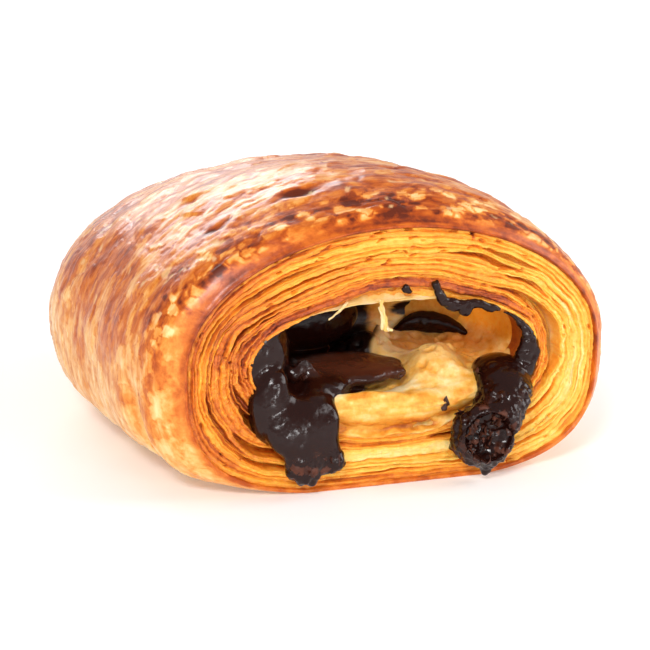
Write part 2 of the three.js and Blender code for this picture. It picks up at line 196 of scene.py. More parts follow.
# Unit normals of a grid that closes round its columns: the cross product of its two directions
def gridNormals(points, sign=1.0):
    down = np.gradient(points, axis=0)
    round_ = np.roll(points, -1, 1) - np.roll(points, 1, 1)
    normal = np.cross(round_, down)
    return sign * normal / np.maximum(np.linalg.norm(normal, axis=-1, keepdims=True), 1e-9)


# Points and faces of a grid of points in mm: rows close round their columns, and either the rows close on
# each other or the first and last rows are drawn together into poles at their middles
def gridFaces(points, ring=False):
    rows, columns = points.shape[:2]
    flat = points.reshape(-1, 3)
    index = np.arange(rows * columns).reshape(rows, columns)
    beside = np.roll(index, -1, 1)
    if ring:
        below, across = np.roll(index, -1, 0), np.roll(beside, -1, 0)
        return flat, np.stack([index, beside, across, below], -1).reshape(-1, 4), np.zeros((0, 3), int)
    quads = np.stack([index[:-1], beside[:-1], beside[1:], index[1:]], -1).reshape(-1, 4)
    first, last = len(flat), len(flat) + 1
    fans = np.vstack([np.stack([np.full(columns, first), beside[0], index[0]], -1),
                      np.stack([np.full(columns, last), index[-1], beside[-1]], -1)])
    return np.vstack([flat, points[0].mean(axis=0), points[-1].mean(axis=0)]), quads, fans


# Mesh of one grid of points; where it ends in poles, a mark takes the mean of its last row there
def gridMesh(name, points, marks=None, ring=False):
    marks = marks or {}
    if not ring:
        marks = {k: np.append(v.ravel(), [v[0].mean(), v[-1].mean()]) for k, v in marks.items()}
    return makeMesh(name, *gridFaces(points, ring), marks)


# One mesh from many closed grids of points, each with one value for each mark
def heapMesh(name, grids, marks=None):
    flats, quads, fans, count = [], [], [], 0
    for grid in grids:
        flat, quad, fan = gridFaces(grid)
        if volumeOf(flat, quad, fan) < 0:
            quad, fan = quad[:, ::-1], fan[:, ::-1]
        flats.append(flat)
        quads.append(quad + count)
        fans.append(fan + count)
        count += len(flat)
    marks = {k: np.concatenate([np.full(len(f), value) for f, value in zip(flats, v)])
             for k, v in (marks or {}).items()}
    return makeMesh(name, np.vstack(flats), np.vstack(quads), np.vstack(fans), marks)


# Six times the volume inside closed faces, negative where they point inwards
def volumeOf(flat, quads, fans):
    triangles = np.vstack([quads[:, [0, 1, 2]], quads[:, [0, 2, 3]], fans])
    a, b, c = (flat[triangles[:, k]] for k in range(3))
    return np.einsum("ij,ij->i", a, np.cross(b, c)).sum()


# Mesh from arrays: turned outwards if its volume comes out negative, smooth, with a number per vertex for
# each mark
def makeMesh(name, flat, quads, fans, marks):
    if volumeOf(flat, quads, fans) < 0:
        quads, fans = quads[:, ::-1], fans[:, ::-1]
    mesh = bpy.data.meshes.new(name)
    loops = np.concatenate([quads.ravel(), fans.ravel()])
    starts = np.concatenate([np.arange(len(quads)) * 4, len(quads) * 4 + np.arange(len(fans)) * 3])
    mesh.vertices.add(len(flat))
    mesh.loops.add(len(loops))
    mesh.polygons.add(len(starts))
    mesh.vertices.foreach_set("co", (flat * mm).ravel())
    mesh.loops.foreach_set("vertex_index", loops.astype(np.int32))
    mesh.polygons.foreach_set("loop_start", starts.astype(np.int32))
    mesh.polygons.foreach_set("use_smooth", np.ones(len(starts), bool))
    setMarks(mesh, marks)
    mesh.update(calc_edges=True)
    mesh.validate()
    return mesh


# Numbers per vertex, which a material reads by the mark's name
def setMarks(mesh, marks):
    for mark, values in marks.items():
        attribute = mesh.attributes.new(mark, "FLOAT", "POINT")
        attribute.data.foreach_set("value", np.ravel(values).astype(np.float32))


# Puts a mesh into the scene as a piece that rides the part and stands in for one of its solids
def addPiece(name, mesh, material, node):
    piece = bpy.data.objects.new(name, mesh)
    scene.collection.objects.link(piece)
    piece.data.materials.append(material)
    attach(piece, "root")
    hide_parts(node)
    print(name, "made,", sum(len(p.vertices) - 2 for p in mesh.polygons), "triangles")
    return piece


# sRGB hex colour to linear RGBA
def fromHex(code):
    channels = np.array([int(code[k:k + 2], 16) for k in (1, 3, 5)]) / 255
    linear = np.where(channels <= 0.04045, channels / 12.92, ((channels + 0.055) / 1.055) ** 2.4)
    return (*linear, 1.0)


# Adds one node: settings are its properties, inputs its socket values or the sockets that feed them,
# and stops the (place, colour) pairs of a colour ramp
def addNode(tree, kind, inputs=None, stops=None, **settings):
    node = tree.nodes.new(kind)
    for key, value in settings.items():
        setattr(node, key, value)
    for key, value in (inputs or {}).items():
        if isinstance(value, bpy.types.NodeSocket):
            tree.links.new(value, node.inputs[key])
        else:
            node.inputs[key].default_value = value
    if stops:
        ramp = node.color_ramp
        while len(ramp.elements) < len(stops):
            ramp.elements.new(0.5)
        for element, (place, colour) in zip(ramp.elements, stops):
            element.position = place
            element.color = fromHex(colour)
    return node


# Empty material: gives it with its node tree, its shader and the object's own coordinates
def newMaterial(name):
    material = bpy.data.materials.new(name)
    material.use_nodes = True
    tree = material.node_tree
    tree.nodes.clear()
    shader = addNode(tree, "ShaderNodeBsdfPrincipled")
    addNode(tree, "ShaderNodeOutputMaterial", {"Surface": shader.outputs[0]})
    place = addNode(tree, "ShaderNodeTexCoord").outputs["Object"]
    return material, tree, shader, place


# Camera, lights and floor
view = {
    "at": (-141.1, -429.2, 138.4),
    "target": (-3.195, -17.0, 21.94),
    "lens": 133.3,
    "sensor": 36.0,
}


# Turns a camera or light so that it looks from where it stands at the target
def aim(thing, target):
    direction = thing.location - type(thing.location)(target)
    thing.rotation_euler = direction.to_track_quat("Z", "Y").to_euler()


# Long lens, low in front and to the left
def makeCamera():
    data = bpy.data.cameras.new("camera")
    data.lens, data.sensor_width = view["lens"], view["sensor"]
    data.clip_start, data.clip_end = 0.01, 20
    camera = bpy.data.objects.new("camera", data)
    scene.collection.objects.link(camera)
    camera.location = [v * mm for v in view["at"]]
    aim(camera, [v * mm for v in view["target"]])
    scene.camera = camera


# Softboxes: where each stands and what it points at, in mm, its sides in mm, and its power in watts
softboxes = {
    "backSoftbox": {"at": (-40, 880, 460), "target": (-10, 0, 30), "size": (560, 300), "power": 4.5},
    "frontSoftbox": {"at": (-420, -760, 560), "target": (0, -20, 20), "size": (210, 170), "power": 5.8},
    "lowSoftbox": {"at": (-90, -900, 120), "target": (0, -20, 20), "size": (150, 110), "power": 1.3},
    "rightSoftbox": {"at": (230, -860, 250), "target": (0, -20, 20), "size": (120, 90), "power": 0.7},
    "sideSoftbox": {"at": (760, -260, 420), "target": (0, 0, 20), "size": (500, 500), "power": 4},
}
surroundings = {
    "colour": "#ffffff",
    "horizon": 0.84,        # brightness of the world at the horizon and overhead
    "overhead": 0.42,
    "floorSide": 6.0,       # metres
    "floorColour": "#f6f6f6",
    "floorGlow": 0.12,      # light the floor gives near the roll and far from it
    "farGlow": 0.46,
}


# White studio: softboxes, a world that pales towards the horizon, and a matt floor
def makeStudio():
    for name, box in softboxes.items():
        data = bpy.data.lights.new(name, "AREA")
        data.shape = "RECTANGLE"
        data.size, data.size_y = box["size"][0] * mm, box["size"][1] * mm
        data.energy = box["power"]
        light = bpy.data.objects.new(name, data)
        scene.collection.objects.link(light)
        light.location = [v * mm for v in box["at"]]
        aim(light, [v * mm for v in box["target"]])
    world = bpy.data.worlds.new("studio")
    world.use_nodes = True
    background = world.node_tree.nodes["Background"]
    background.inputs["Color"].default_value = fromHex(surroundings["colour"])
    # Paler towards the horizon, so that the floor runs into it without an edge
    direction = addNode(world.node_tree, "ShaderNodeTexCoord").outputs["Generated"]
    height = addNode(world.node_tree, "ShaderNodeSeparateXYZ", {0: direction}).outputs["Z"]
    rise = addNode(world.node_tree, "ShaderNodeMapRange",
                   {"Value": height, "From Min": 0.03, "From Max": 0.5, "To Min": surroundings["horizon"],
                    "To Max": surroundings["overhead"]}, interpolation_type="SMOOTHSTEP")
    world.node_tree.links.new(rise.outputs[0], background.inputs["Strength"])
    scene.world = world
    scene.view_settings.view_transform = "Standard"
    side = surroundings["floorSide"] / 2
    mesh = bpy.data.meshes.new("floor")
    mesh.from_pydata([(-side, -side, 0), (side, -side, 0), (side, side, 0), (-side, side, 0)], [],
                     [(0, 1, 2, 3)])
    floor = bpy.data.objects.new("floor", mesh)
    scene.collection.objects.link(floor)
    material, tree, shader, place = newMaterial("matt paper sweep")
    shader.inputs["Base Color"].default_value = fromHex(surroundings["floorColour"])
    shader.inputs["Roughness"].default_value = 0.9
    shader.inputs["Emission Color"].default_value = fromHex("#ffffff")
    # Brighter far out, where the softboxes no longer reach
    reach = addNode(tree, "ShaderNodeVectorMath", {0: place}, operation="LENGTH").outputs["Value"]
    glow = addNode(tree, "ShaderNodeMapRange", {"Value": reach, "From Min": 0.4, "From Max": 2.0,
                                                "To Min": surroundings["floorGlow"],
                                                "To Max": surroundings["farGlow"]},
                   interpolation_type="SMOOTHSTEP")
    tree.links.new(glow.outputs[0], shader.inputs["Emission Strength"])
    floor.data.materials.append(material)


makeCamera()
makeStudio()
print("camera and studio set")

# Baked crust, egg-washed before the oven: a brown skin that thins to gold down the sides, glossy where the
# wash pooled, with amber scales, fine cracks that run round the roll, and pale chips where a flake has
# lifted off it
crust = {
    "columns": 900,         # sizes and heights below in mm
    "seam": 40.0,           # distance behind the open end where the two tubes meet
    "swell": 0.5,
    "wrinkle": 0.13,        # height of the creases that run round the roll
    "crack": 0.12,
    "blisterSize": 7.5,
    "blisterHeight": 0.4,
    "chipDepth": 0.14,
    "chipSize": (3, 2.2, 3),
    "scaleSize": (3.4, 2.2, 2.6),
    "scaleHeight": 0.1,
    "islandSize": (7.5, 3.4, 7.5),
    "islandHeight": 0.09,   # step at the edge of an island where a leaf of the skin lifted
    "fleckSize": (3.2, 1.7, 2.2),
    "burntFlecks": 0.4,     # share of burnt flecks near the front edge, and of gold ones
    "goldFlecks": 0.34,
    "rimBand": 1.5,         # width of the smooth band along the front edge
    "foldDepth": 2.1,       # crease behind the flared front edge, low on the left
    "wall": 1.3,
    "brownings": [(0.0, "#f8d194"), (0.18, "#f0b268"), (0.36, "#e08d39"), (0.54, "#cb681c"),
                  (0.72, "#aa480c"), (0.88, "#853207"), (1.0, "#5e1f06")],
    "chip": "#f1c88e",
}
# Burst blisters: x, y, z, half size round the roll, half size along it and depth
burstBlisters = [
    (-14.1, -34.5, 51.4, 3.4, 1.9, 1.1), (-28.6, -33.5, 46.5, 3.6, 1.5, 0.9),
    (-28.8, -16.5, 46.7, 2.6, 2, 0.8), (-17.7, -18.8, 50.8, 2.4, 2.2, 0.6),
    (-2.9, -19, 52.7, 2.2, 1.8, 0.5), (8, -24, 52, 2.8, 1.6, 0.6), (16, -12, 50, 2.4, 1.6, 0.7),
    (27, -20, 45, 2.6, 1.7, 0.7), (-36, 8, 41, 2.6, 1.8, 0.7), (2, 20, 47, 3, 2, 0.9),
    (22, 22, 42, 2.6, 1.8, 0.8), (36, 0, 35, 3, 1.6, 0.7), (-20, 30, 42, 2.8, 1.8, 0.8),
]
# Darker and paler areas: x, y, z, half size round the roll, half size along it and how much browner
brownAreas = [
    (-1.4, -42, 50.6, 17, 4.5, 0.12), (14, -41, 49.5, 13, 6, 0.12), (-18, -43, 47.8, 9, 3, 0.08),
    (28, -30, 42, 12, 14, 0.03), (-44, -38, 12, 7, 9, 0.08), (-48, 4, 22, 8, 14, -0.05),
    (-43.7, -3.8, 34.6, 9, 13, 0.1), (-43.5, -29.5, 33, 8, 9, 0.07), (-38, -42, 36, 8, 4, 0.06),
    (-16, 8, 48, 14, 16, 0.0), (-46, -20, 15, 9, 22, -0.09), (10, 25, 46, 26, 22, 0.08),
    (38, 20, 30, 16, 26, 0.06), (-14.1, -34.5, 51.4, 4, 2.6, 0.2), (-28.6, -33.5, 46.5, 4, 2.2, 0.02),
]


# Bump of height one at a place, a gaussian with one size round the roll and another along it
def spotOn(points, x, y, z, around, lengthways):
    return np.exp(-((points[..., 0] - x) ** 2 + (points[..., 2] - z) ** 2) / around ** 2
                  - ((points[..., 1] - y) / lengthways) ** 2)


# Crust: pale gold to dark brown by its browning, broken by flecks and streaks, under the thin clear gloss
# that dried egg leaves
def makeCrustMaterial():
    material, tree, shader, place = newMaterial("egg-washed baked crust")
    brown = addNode(tree, "ShaderNodeAttribute", attribute_name="brown").outputs["Fac"]
    chip = addNode(tree, "ShaderNodeAttribute", attribute_name="chip").outputs["Fac"]
    # Flecks 2 to 5 mm long with crisp edges, shorter along the roll than round it
    squeezed = addNode(tree, "ShaderNodeMapping", {"Vector": place, "Scale": (1, 1.7, 1)})
    mottle = addNode(tree, "ShaderNodeTexNoise", {"Vector": squeezed.outputs[0], "Scale": 270, "Detail": 9,
                                                  "Roughness": 0.64, "Distortion": 0.3})
    shifted = addNode(tree, "ShaderNodeMapRange", {"Value": mottle.outputs["Fac"], "From Min": 0.4,
                                                   "From Max": 0.6, "To Min": -0.12, "To Max": 0.12})
    # Streaks drawn out round the roll, about 0.6 mm apart
    drawn = addNode(tree, "ShaderNodeMapping", {"Vector": place, "Scale": (150, 1500, 150)})
    streak = addNode(tree, "ShaderNodeTexNoise", {"Vector": drawn.outputs[0], "Scale": 1, "Detail": 3})
    streaked = addNode(tree, "ShaderNodeMapRange", {"Value": streak.outputs["Fac"], "From Min": 0.3,
                                                    "From Max": 0.7, "To Min": -0.07, "To Max": 0.07})
    total = addNode(tree, "ShaderNodeMath", {0: brown, 1: shifted.outputs[0]}, operation="ADD")
    total = addNode(tree, "ShaderNodeMath", {0: total.outputs[0], 1: streaked.outputs[0]}, operation="ADD")
    colour = addNode(tree, "ShaderNodeValToRGB", {"Fac": total.outputs[0]}, stops=crust["brownings"])
    chipped = addNode(tree, "ShaderNodeMix",
                      {"Factor": chip, 6: colour.outputs[0], 7: fromHex(crust["chip"])}, data_type="RGBA")
    tree.links.new(chipped.outputs[2], shader.inputs["Base Color"])
    # Grain of the dried skin and its hair cracks, 0.2 to 0.6 mm
    grain = addNode(tree, "ShaderNodeTexNoise", {"Vector": place, "Scale": 1400, "Detail": 4,
                                                 "Roughness": 0.6})
    height = addNode(tree, "ShaderNodeMath", {0: grain.outputs["Fac"], 1: streak.outputs["Fac"]},
                     operation="ADD")
    bump = addNode(tree, "ShaderNodeBump", {"Height": height.outputs[0], "Distance": 0.0003,
                                            "Strength": 0.22})
    tree.links.new(bump.outputs[0], shader.inputs["Normal"])
    gloss = addNode(tree, "ShaderNodeMapRange", {"Value": mottle.outputs["Fac"], "From Min": 0.35,
                                                 "From Max": 0.65, "To Min": 0.3, "To Max": 0.46})
    dull = addNode(tree, "ShaderNodeMix", {"Factor": chip, 2: gloss.outputs[0], 3: 0.62}, data_type="FLOAT")
    tree.links.new(dull.outputs[0], shader.inputs["Roughness"])
    shader.inputs["IOR"].default_value = 1.45
    shader.inputs["Specular IOR Level"].default_value = 0.3
    shader.inputs["Coat Weight"].default_value = 0.17
    shader.inputs["Coat Roughness"].default_value = 0.2
    shader.inputs["Subsurface Weight"].default_value = 0.1
    shader.inputs["Subsurface Radius"].default_value = (1.0, 0.45, 0.15)
    shader.inputs["Subsurface Scale"].default_value = 0.0015
    return material


# Outward unit normals of a grid that goes round the roll
def outward(points):
    normal = gridNormals(points)
    away = np.sum(normal * (points - points.mean(axis=1, keepdims=True)), axis=-1, keepdims=True)
    return normal * np.sign(away)


# Height of the crust over its plain outline, its browning and its chips, all from noises of the plain points
def crustFinish(plain, normal, theta, t):
    height, up = plain[..., 2], normal[..., 2]
    warped = plain + np.array([1.2, 0.7, 1.2]) * roughNoise(plain, 4, 3, 21)[..., None]
    gap, _, number = cellNoise(plain, crust["blisterSize"], 3)
    blister = np.where(number > 0.5, softStep(0.7 - gap, 0, 0.55), 0)
    creases = roughNoise(warped, (15, 3.4, 15), 3, 11)
    wrinkle = 1 - np.abs(creases) * 2.4
    crack = softStep(0.05 - np.abs(roughNoise(warped, (22, 2.0, 22), 2, 13)), 0, 0.05)
    crack = crack * softStep(roughNoise(plain, 7, 2, 15), -0.1, 0.3)
    chipEdge = 0.5 - 0.16 * softStep(roughNoise(plain, 15, 2, 33), -0.2, 0.5)
    chip = softStep(roughNoise(warped, crust["chipSize"], 3, 31), chipEdge, chipEdge + 0.14)
    chip = 0.6 * chip * softStep(t, 1.5, 3)
    frayed = warped + 1.1 * roughNoise(plain, 1.8, 2, 53)[..., None]
    islandNoise = roughNoise(frayed, crust["islandSize"], 3, 55)
    scaleGap, scaleNext, scaleNumber = cellNoise(warped, crust["scaleSize"], 37)
    edge = softStep(scaleNext - scaleGap, 0.02, 0.4)
    scale = np.where(scaleNumber > 0.5, edge, 0) * softStep(t, 0.8, 2)
    burst = sum(depth * spotOn(warped, x, y, z, around * 0.8, lengthways * 0.8)
                for x, y, z, around, lengthways, depth in burstBlisters)
    rimOfBurst = sum(spotOn(warped, x, y, z, around * 1.5, lengthways * 1.5)
                     for x, y, z, around, lengthways, depth in burstBlisters)
    foldLine = np.exp(-((t - 9.5 - 0.12 * (height - 6)) / 2.2) ** 2) - 0.35 * np.exp(-((t - 5) / 2.2) ** 2)
    fold = foldLine * softStep(-np.cos(theta), 0.45, 0.8) * softStep(24 - height, 0, 12)
    live = softStep(height, 0.5, 6)
    relief = crust["blisterHeight"] * blister + crust["wrinkle"] * wrinkle - crust["crack"] * crack \
        - crust["chipDepth"] * chip + crust["scaleHeight"] * scale - burst + 0.3 * rimOfBurst \
        + 0.05 * roughNoise(plain, 1.6, 3, 17) + crust["islandHeight"] * softStep(islandNoise, 0.08, 0.13)
    relief = live * relief * softStep(t, 0.4, 3.5) * softStep(roll["length"] - t, 0, 9)
    relief = relief - crust["foldDepth"] * fold * softStep(height, 0, 3)
    # Browning: deep on top, amber on the shoulders, cream low down
    tone = 0.19 + 0.26 * softStep(height, 4, 26) + 0.08 * softStep(up, 0.1, 0.75)
    tone = tone + sum(more * spotOn(plain, x, y, z, around, lengthways)
                      for x, y, z, around, lengthways, more in brownAreas)
    mottle = softStep(height, 6, 22)
    patches = roughNoise(warped, (7, 4, 7), 4, 51)
    tone = tone + (0.06 + 0.08 * mottle) * patches + 0.05 * creases
    # Leaves of the skin: pale islands where one lifted, with a thin brown outline, browner where one lies
    # on top
    tone = tone - (0.05 + 0.12 * mottle) * softStep(islandNoise, 0.06, 0.16) \
        + 0.14 * mottle * softStep(-islandNoise, 0.12, 0.3) \
        + 0.13 * softStep(0.035 - np.abs(islandNoise - 0.1), 0, 0.03)
    tone = tone - 0.15 * scale * softStep(roughNoise(plain, 9, 2, 39), -0.25, 0.35) * mottle + 0.12 * crack
    tone = tone + 0.3 * softStep(burst, 0.1, 0.6) + 0.06 * blister
    streaks = roughNoise(plain, (26, 1.3, 26), 3, 57)
    tone = tone - 0.13 * softStep(streaks, 0.1, 0.5) * softStep(30 - height, 0, 14)
    # Smooth pinkish-brown band along the front edge, dark at its very corner
    band = softStep(crust["rimBand"] - t, 0, 0.8) * (0.2 + 0.55 * softStep(np.cos(theta), -0.5, -0.1))
    tone = tone * (1 - band) + band * (0.44 + 0.26 * softStep(height, 24, 44))
    tone = tone + 0.2 * softStep(0.8 - t, 0, 0.8) * softStep(height, -4, 26)
    nearRim = softStep(10 - t, 0, 8) * softStep(height, 14, 32) * softStep(-np.cos(theta), -0.5, 0.1)
    tone = tone + 0.09 * nearRim
    # Gold flecks and burnt spots on the dark part near the front edge, up on top
    front = softStep(13 - t, 0, 7) * softStep(t, 0.7, 1.5) * softStep(height, 20, 36)
    shaken = warped + 0.5 * latticeNoise(plain, 1.1, 63)[..., None]
    fleck, nextFleck, fleckNumber = cellNoise(shaken, crust["fleckSize"], 61)
    whole = softStep(nextFleck - fleck, 0.04, 0.2)
    burnt, gold = fleckNumber > 1 - crust["burntFlecks"], fleckNumber < crust["goldFlecks"]
    tone = tone - 0.4 * front * whole * burnt + 0.24 * front * whole * gold
    return relief, tone, chip


# Crust as two closed tubes that meet at the seam, each with its wall 1.3 mm thick: a row past the seam dips
# under the other tube. The front one turns in over the rim's lip, the back one ends at the far shoulder.
def makeCrust(material):
    columns = crust["columns"]
    theta = np.linspace(0, 2 * np.pi, columns, endpoint=False)[None, :]
    past = np.sin(np.linspace(0.93, 0.08, 11) * np.pi / 2)
    shoulder = roll["shoulderT"] + (roll["length"] - roll["shoulderT"]) * past
    seam = crust["seam"]
    tubes = {
        "crust": ([seam + 0.9, seam + 0.45], np.linspace(seam, 5.2, 76), np.linspace(4.9, 0.35, 16), [],
                  [2.4, 8, 18, 28, 38]),
        "crust_back": ([], shoulder, np.linspace(roll["shoulderT"], seam, 82), [seam - 0.45, seam - 0.9],
                       [42, 50, 64, 78, 86, 91]),
    }
    for name, (before, first, second, after, innerT) in tubes.items():
        t = np.concatenate([before, first, second, after])[:, None]
        plain = crustPoint(theta, t)
        normal = outward(plain)
        relief, tone, chip = crustFinish(plain, normal, theta, t)
        tucked = np.where(t > seam, t - seam, 0) if name == "crust" else np.where(t < seam, seam - t, 0)
        relief = relief - 0.03 * (tucked > 0) - 0.5 * softStep(tucked, 0.5, 0.9)
        swell = crust["swell"] * np.sin(t * 0.17 + 2.1 * np.cos(theta) + 0.6) * np.sin(2 * theta + t * 0.04)
        swell = swell * softStep(plain[..., 2], 3, 14) * softStep(t, 0, 6) \
            * softStep(roll["length"] - t, 0, 9)
        points = crustPoint(theta, t, swell) + relief[..., None] * normal
        rows, tones, chips = [points], [tone], [chip]
        if name == "crust":
            share = np.array([0.0, 0.014, 0.034, 0.046, 0.06, 0.09])[:, None]
            lift = 0.12 * ringNoise(theta, 3.3, 5, 63) + 0.05 * ringNoise(theta, 4.3, 1.2, 65)
            depth = np.array([0.06, -0.2, -0.28, -0.16, 0.4, 1.6])[:, None] + lift
            rows.append(facePoint(theta.repeat(6, 0), share + 0 * theta, depth))
            lipTone = 0.44 + 0.26 * softStep(plain[-1:, :, 2], 4, 32) + 0.1 * ringNoise(theta, 5.3, 6, 67)
            tones.append(lipTone + 0.14 * np.sin(np.linspace(0, 3, 6))[:, None])
            chips.append(np.zeros((6, columns)))
        inner = crustPoint(theta, np.array(innerT)[:, None])
        rows.append(inner - crust["wall"] * outward(inner))
        tones.append(np.full((len(innerT), columns), 0.3))
        chips.append(np.zeros((len(innerT), columns)))
        mesh = gridMesh(name, np.vstack(rows), {"brown": np.vstack(tones), "chip": np.vstack(chips)},
                        ring=True)
        addPiece(name, mesh, material, "pastry")


ringRadius = 32.0           # mean radius of the ring of leaves, mm


# One number along the ring: value noise on a circle of the ring's size in mm, a different slice for each leaf
def ringNoise(theta, leaf, size, seed):
    spot = np.stack([ringRadius * np.cos(theta) + leaf * 37.1, ringRadius * np.sin(theta) - leaf * 11.7,
                     leaf * 5.3 + 0 * theta], -1)
    return roughNoise(spot, size, 3, seed)


crustMaterial = makeCrustMaterial()
makeCrust(crustMaterial)

# Leaves of laminated dough at the open end, from the rim to the lip, made as three closed rings. The
# surface is set back in creases between leaves, some of them open gaps, and each leaf is made of finer
# ones, stepped a little.
leaves = {
    "count": 15,
    "columns": 1140,
    "rings": 3,
    "rows": 72,
    "start": 0.05,          # share of the way from rim to lip where the first leaf begins
    "thick": 13.0,          # mm from rim to lip, about
    "pressedGap": 0.1,      # in leaf widths
    "pressedDepth": 0.14,
    "wander": 0.026,
    "plySize": 0.62,
    "plyStep": 0.13,
    "roundness": 0.24,      # how far a leaf's edges lie behind its middle, mm
    "backDepth": 10.5,
    "crackX": 14.6,         # where a crack runs through the rim
    "tongueAngle": 271,     # degrees round the ring; the tongue lies below the cavity
    "tongueReach": 66,
    "tongueHeight": 0.46,
    "colours": [(0.0, "#fbd78a"), (0.2, "#f8c054"), (0.4, "#f0a332"), (0.58, "#e0841f"), (0.74, "#c26015"),
                (0.88, "#983d10"), (1.0, "#68220a")],
}
# Where a leaf is thicker (times), set back (mm) or browner than usual: leaf, angle, reach, times, set back,
# browner
leafPlaces = [
    (14, 88, 46, 4.2, 1.9, -0.03), (13, 92, 80, 2.6, 0.3, 0.3), (13, 20, 60, 1.5, 0, 0.1),
    (12, 95, 70, 0.6, 0.2, 0.2), (3, 186, 36, 2.3, 0.35, -0.02), (7, 178, 44, 2.1, 0.4, 0.0),
    (11, 182, 40, 1.9, 0.2, 0.1), (5, 186, 50, 0.5, 0, 0.12), (9, 180, 50, 0.5, -0.1, 0.12),
    (1, 180, 60, 0.5, 0, 0.15), (12, 180, 60, 1, 0.1, 0.06), (13, 180, 60, 1, 0.1, 0.08),
    (2, 84, 60, 1.7, 0.1, -0.1), (4, 98, 50, 1.5, 0.2, -0.06), (6, 78, 50, 1.5, 0.1, -0.05),
    (8, 90, 60, 1.3, 0.2, 0.04), (7, 270, 52, 3.6, -0.3, -0.28), (0, 270, 70, 1.5, 0.1, 0.2),
    (1, 270, 70, 1.2, 0.2, 0.1), (3, 12, 60, 1.4, 0.2, -0.18), (5, 5, 60, 1.5, 0.1, -0.2),
    (8, 0, 50, 1.3, 0.1, -0.16), (1, 8, 60, 1, 0, -0.1), (6, 8, 60, 1, 0, -0.12), (10, 0, 60, 1.2, 0, 0.05),
    (11, 0, 60, 1.4, 0, 0.1), (12, 0, 60, 1, 0, 0.12),
]
# Wide gaps: after which leaf, at what angle, how far round, how wide in leaf widths and how deep in mm
openGaps = [
    (9, 8, 48, 3.6, 5.2), (9, 224, 17, 1.9, 5.5), (6, 231, 17, 1.6, 4), (3, 236, 15, 1.2, 3.4),
    (2, 52, 13, 1.0, 2.6), (4, 60, 15, 0.9, 2.6), (6, 40, 12, 0.9, 2.4), (5, 118, 20, 0.5, 1.6),
    (3, 128, 18, 0.45, 1.5), (8, 150, 18, 0.4, 1.4), (10, 205, 16, 0.6, 1.8), (4, 208, 20, 0.5, 1.6),
    (7, 320, 20, 0.3, 0.8), (12, 330, 18, 0.3, 0.8), (2, 300, 20, 0.35, 1.2), (8, 292, 12, 1.3, 3.2),
]


# Share of the way from rim to lip where the leaves end: at the lip, but short of the tongue under the cavity
def leavesEnd(theta):
    return 1 - leaves["tongueHeight"] * window(theta, leaves["tongueAngle"], leaves["tongueReach"]) ** 0.7


# Widths of all leaves and of the gaps after them, as shares from rim to lip that add up to its whole
def leafWidths(theta):
    draw = np.random.default_rng(7)
    base = 0.45 + 1.1 * draw.random(leaves["count"])
    widths, gaps, depths = [], [], []
    for leaf in range(leaves["count"]):
        width = base[leaf] * np.exp(0.6 * ringNoise(theta, leaf, 21, 5))
        for which, at, reach, times, setBack, browner in leafPlaces:
            if which == leaf:
                width = width * (1 + (times - 1) * window(theta, at, reach))
        if leaf > 8:
            width = width * (1 - 0.72 * window(theta, leaves["tongueAngle"], 60))
        opening = softStep(ringNoise(theta, leaf + 0.4, 10, 13), 0.08, 0.5)
        gap = leaves["pressedGap"] + 0.2 * opening
        depth = leaves["pressedDepth"] * (1 + 1.2 * ringNoise(theta, leaf + 0.7, 6, 15)) + 0.45 * opening
        for after, at, reach, wide, deep in openGaps:
            if after == leaf:
                here = window(theta, at, reach) ** 0.7
                gap, depth = gap + wide * here, depth + deep * here
        widths.append(width)
        gaps.append(gap if leaf < leaves["count"] - 1 else 0 * theta)
        depths.append(depth)
    widths, gaps, depths = (np.vstack(rows) for rows in (widths, gaps, depths))
    scale = (leavesEnd(theta) - leaves["start"]) / (widths.sum(axis=0) + gaps.sum(axis=0))
    return widths * scale, gaps * scale, depths


# Front of a leaf's edge: how far it lies behind the end's plane in mm, ragged along the ring, and its
# browning
def leafFront(theta, leaf):
    draw = np.random.default_rng(40 + leaf).random(2) - 0.5
    front = 0.6 * draw[0] + 0.5 * ringNoise(theta, leaf, 15, 7) + 0.3 * ringNoise(theta, leaf, 4, 9) \
        + 0.2 * ringNoise(theta, leaf, 1.3, 11)
    brown = 0.44 + 0.14 * draw[1] + 0.16 * ringNoise(theta, leaf, 12, 29)
    for which, at, reach, times, setBack, browner in leafPlaces:
        if which == leaf:
            front = front + setBack * window(theta, at, reach) ** 0.6
            brown = brown + browner * window(theta, at, reach) ** 0.5
    return front + 0.1, brown


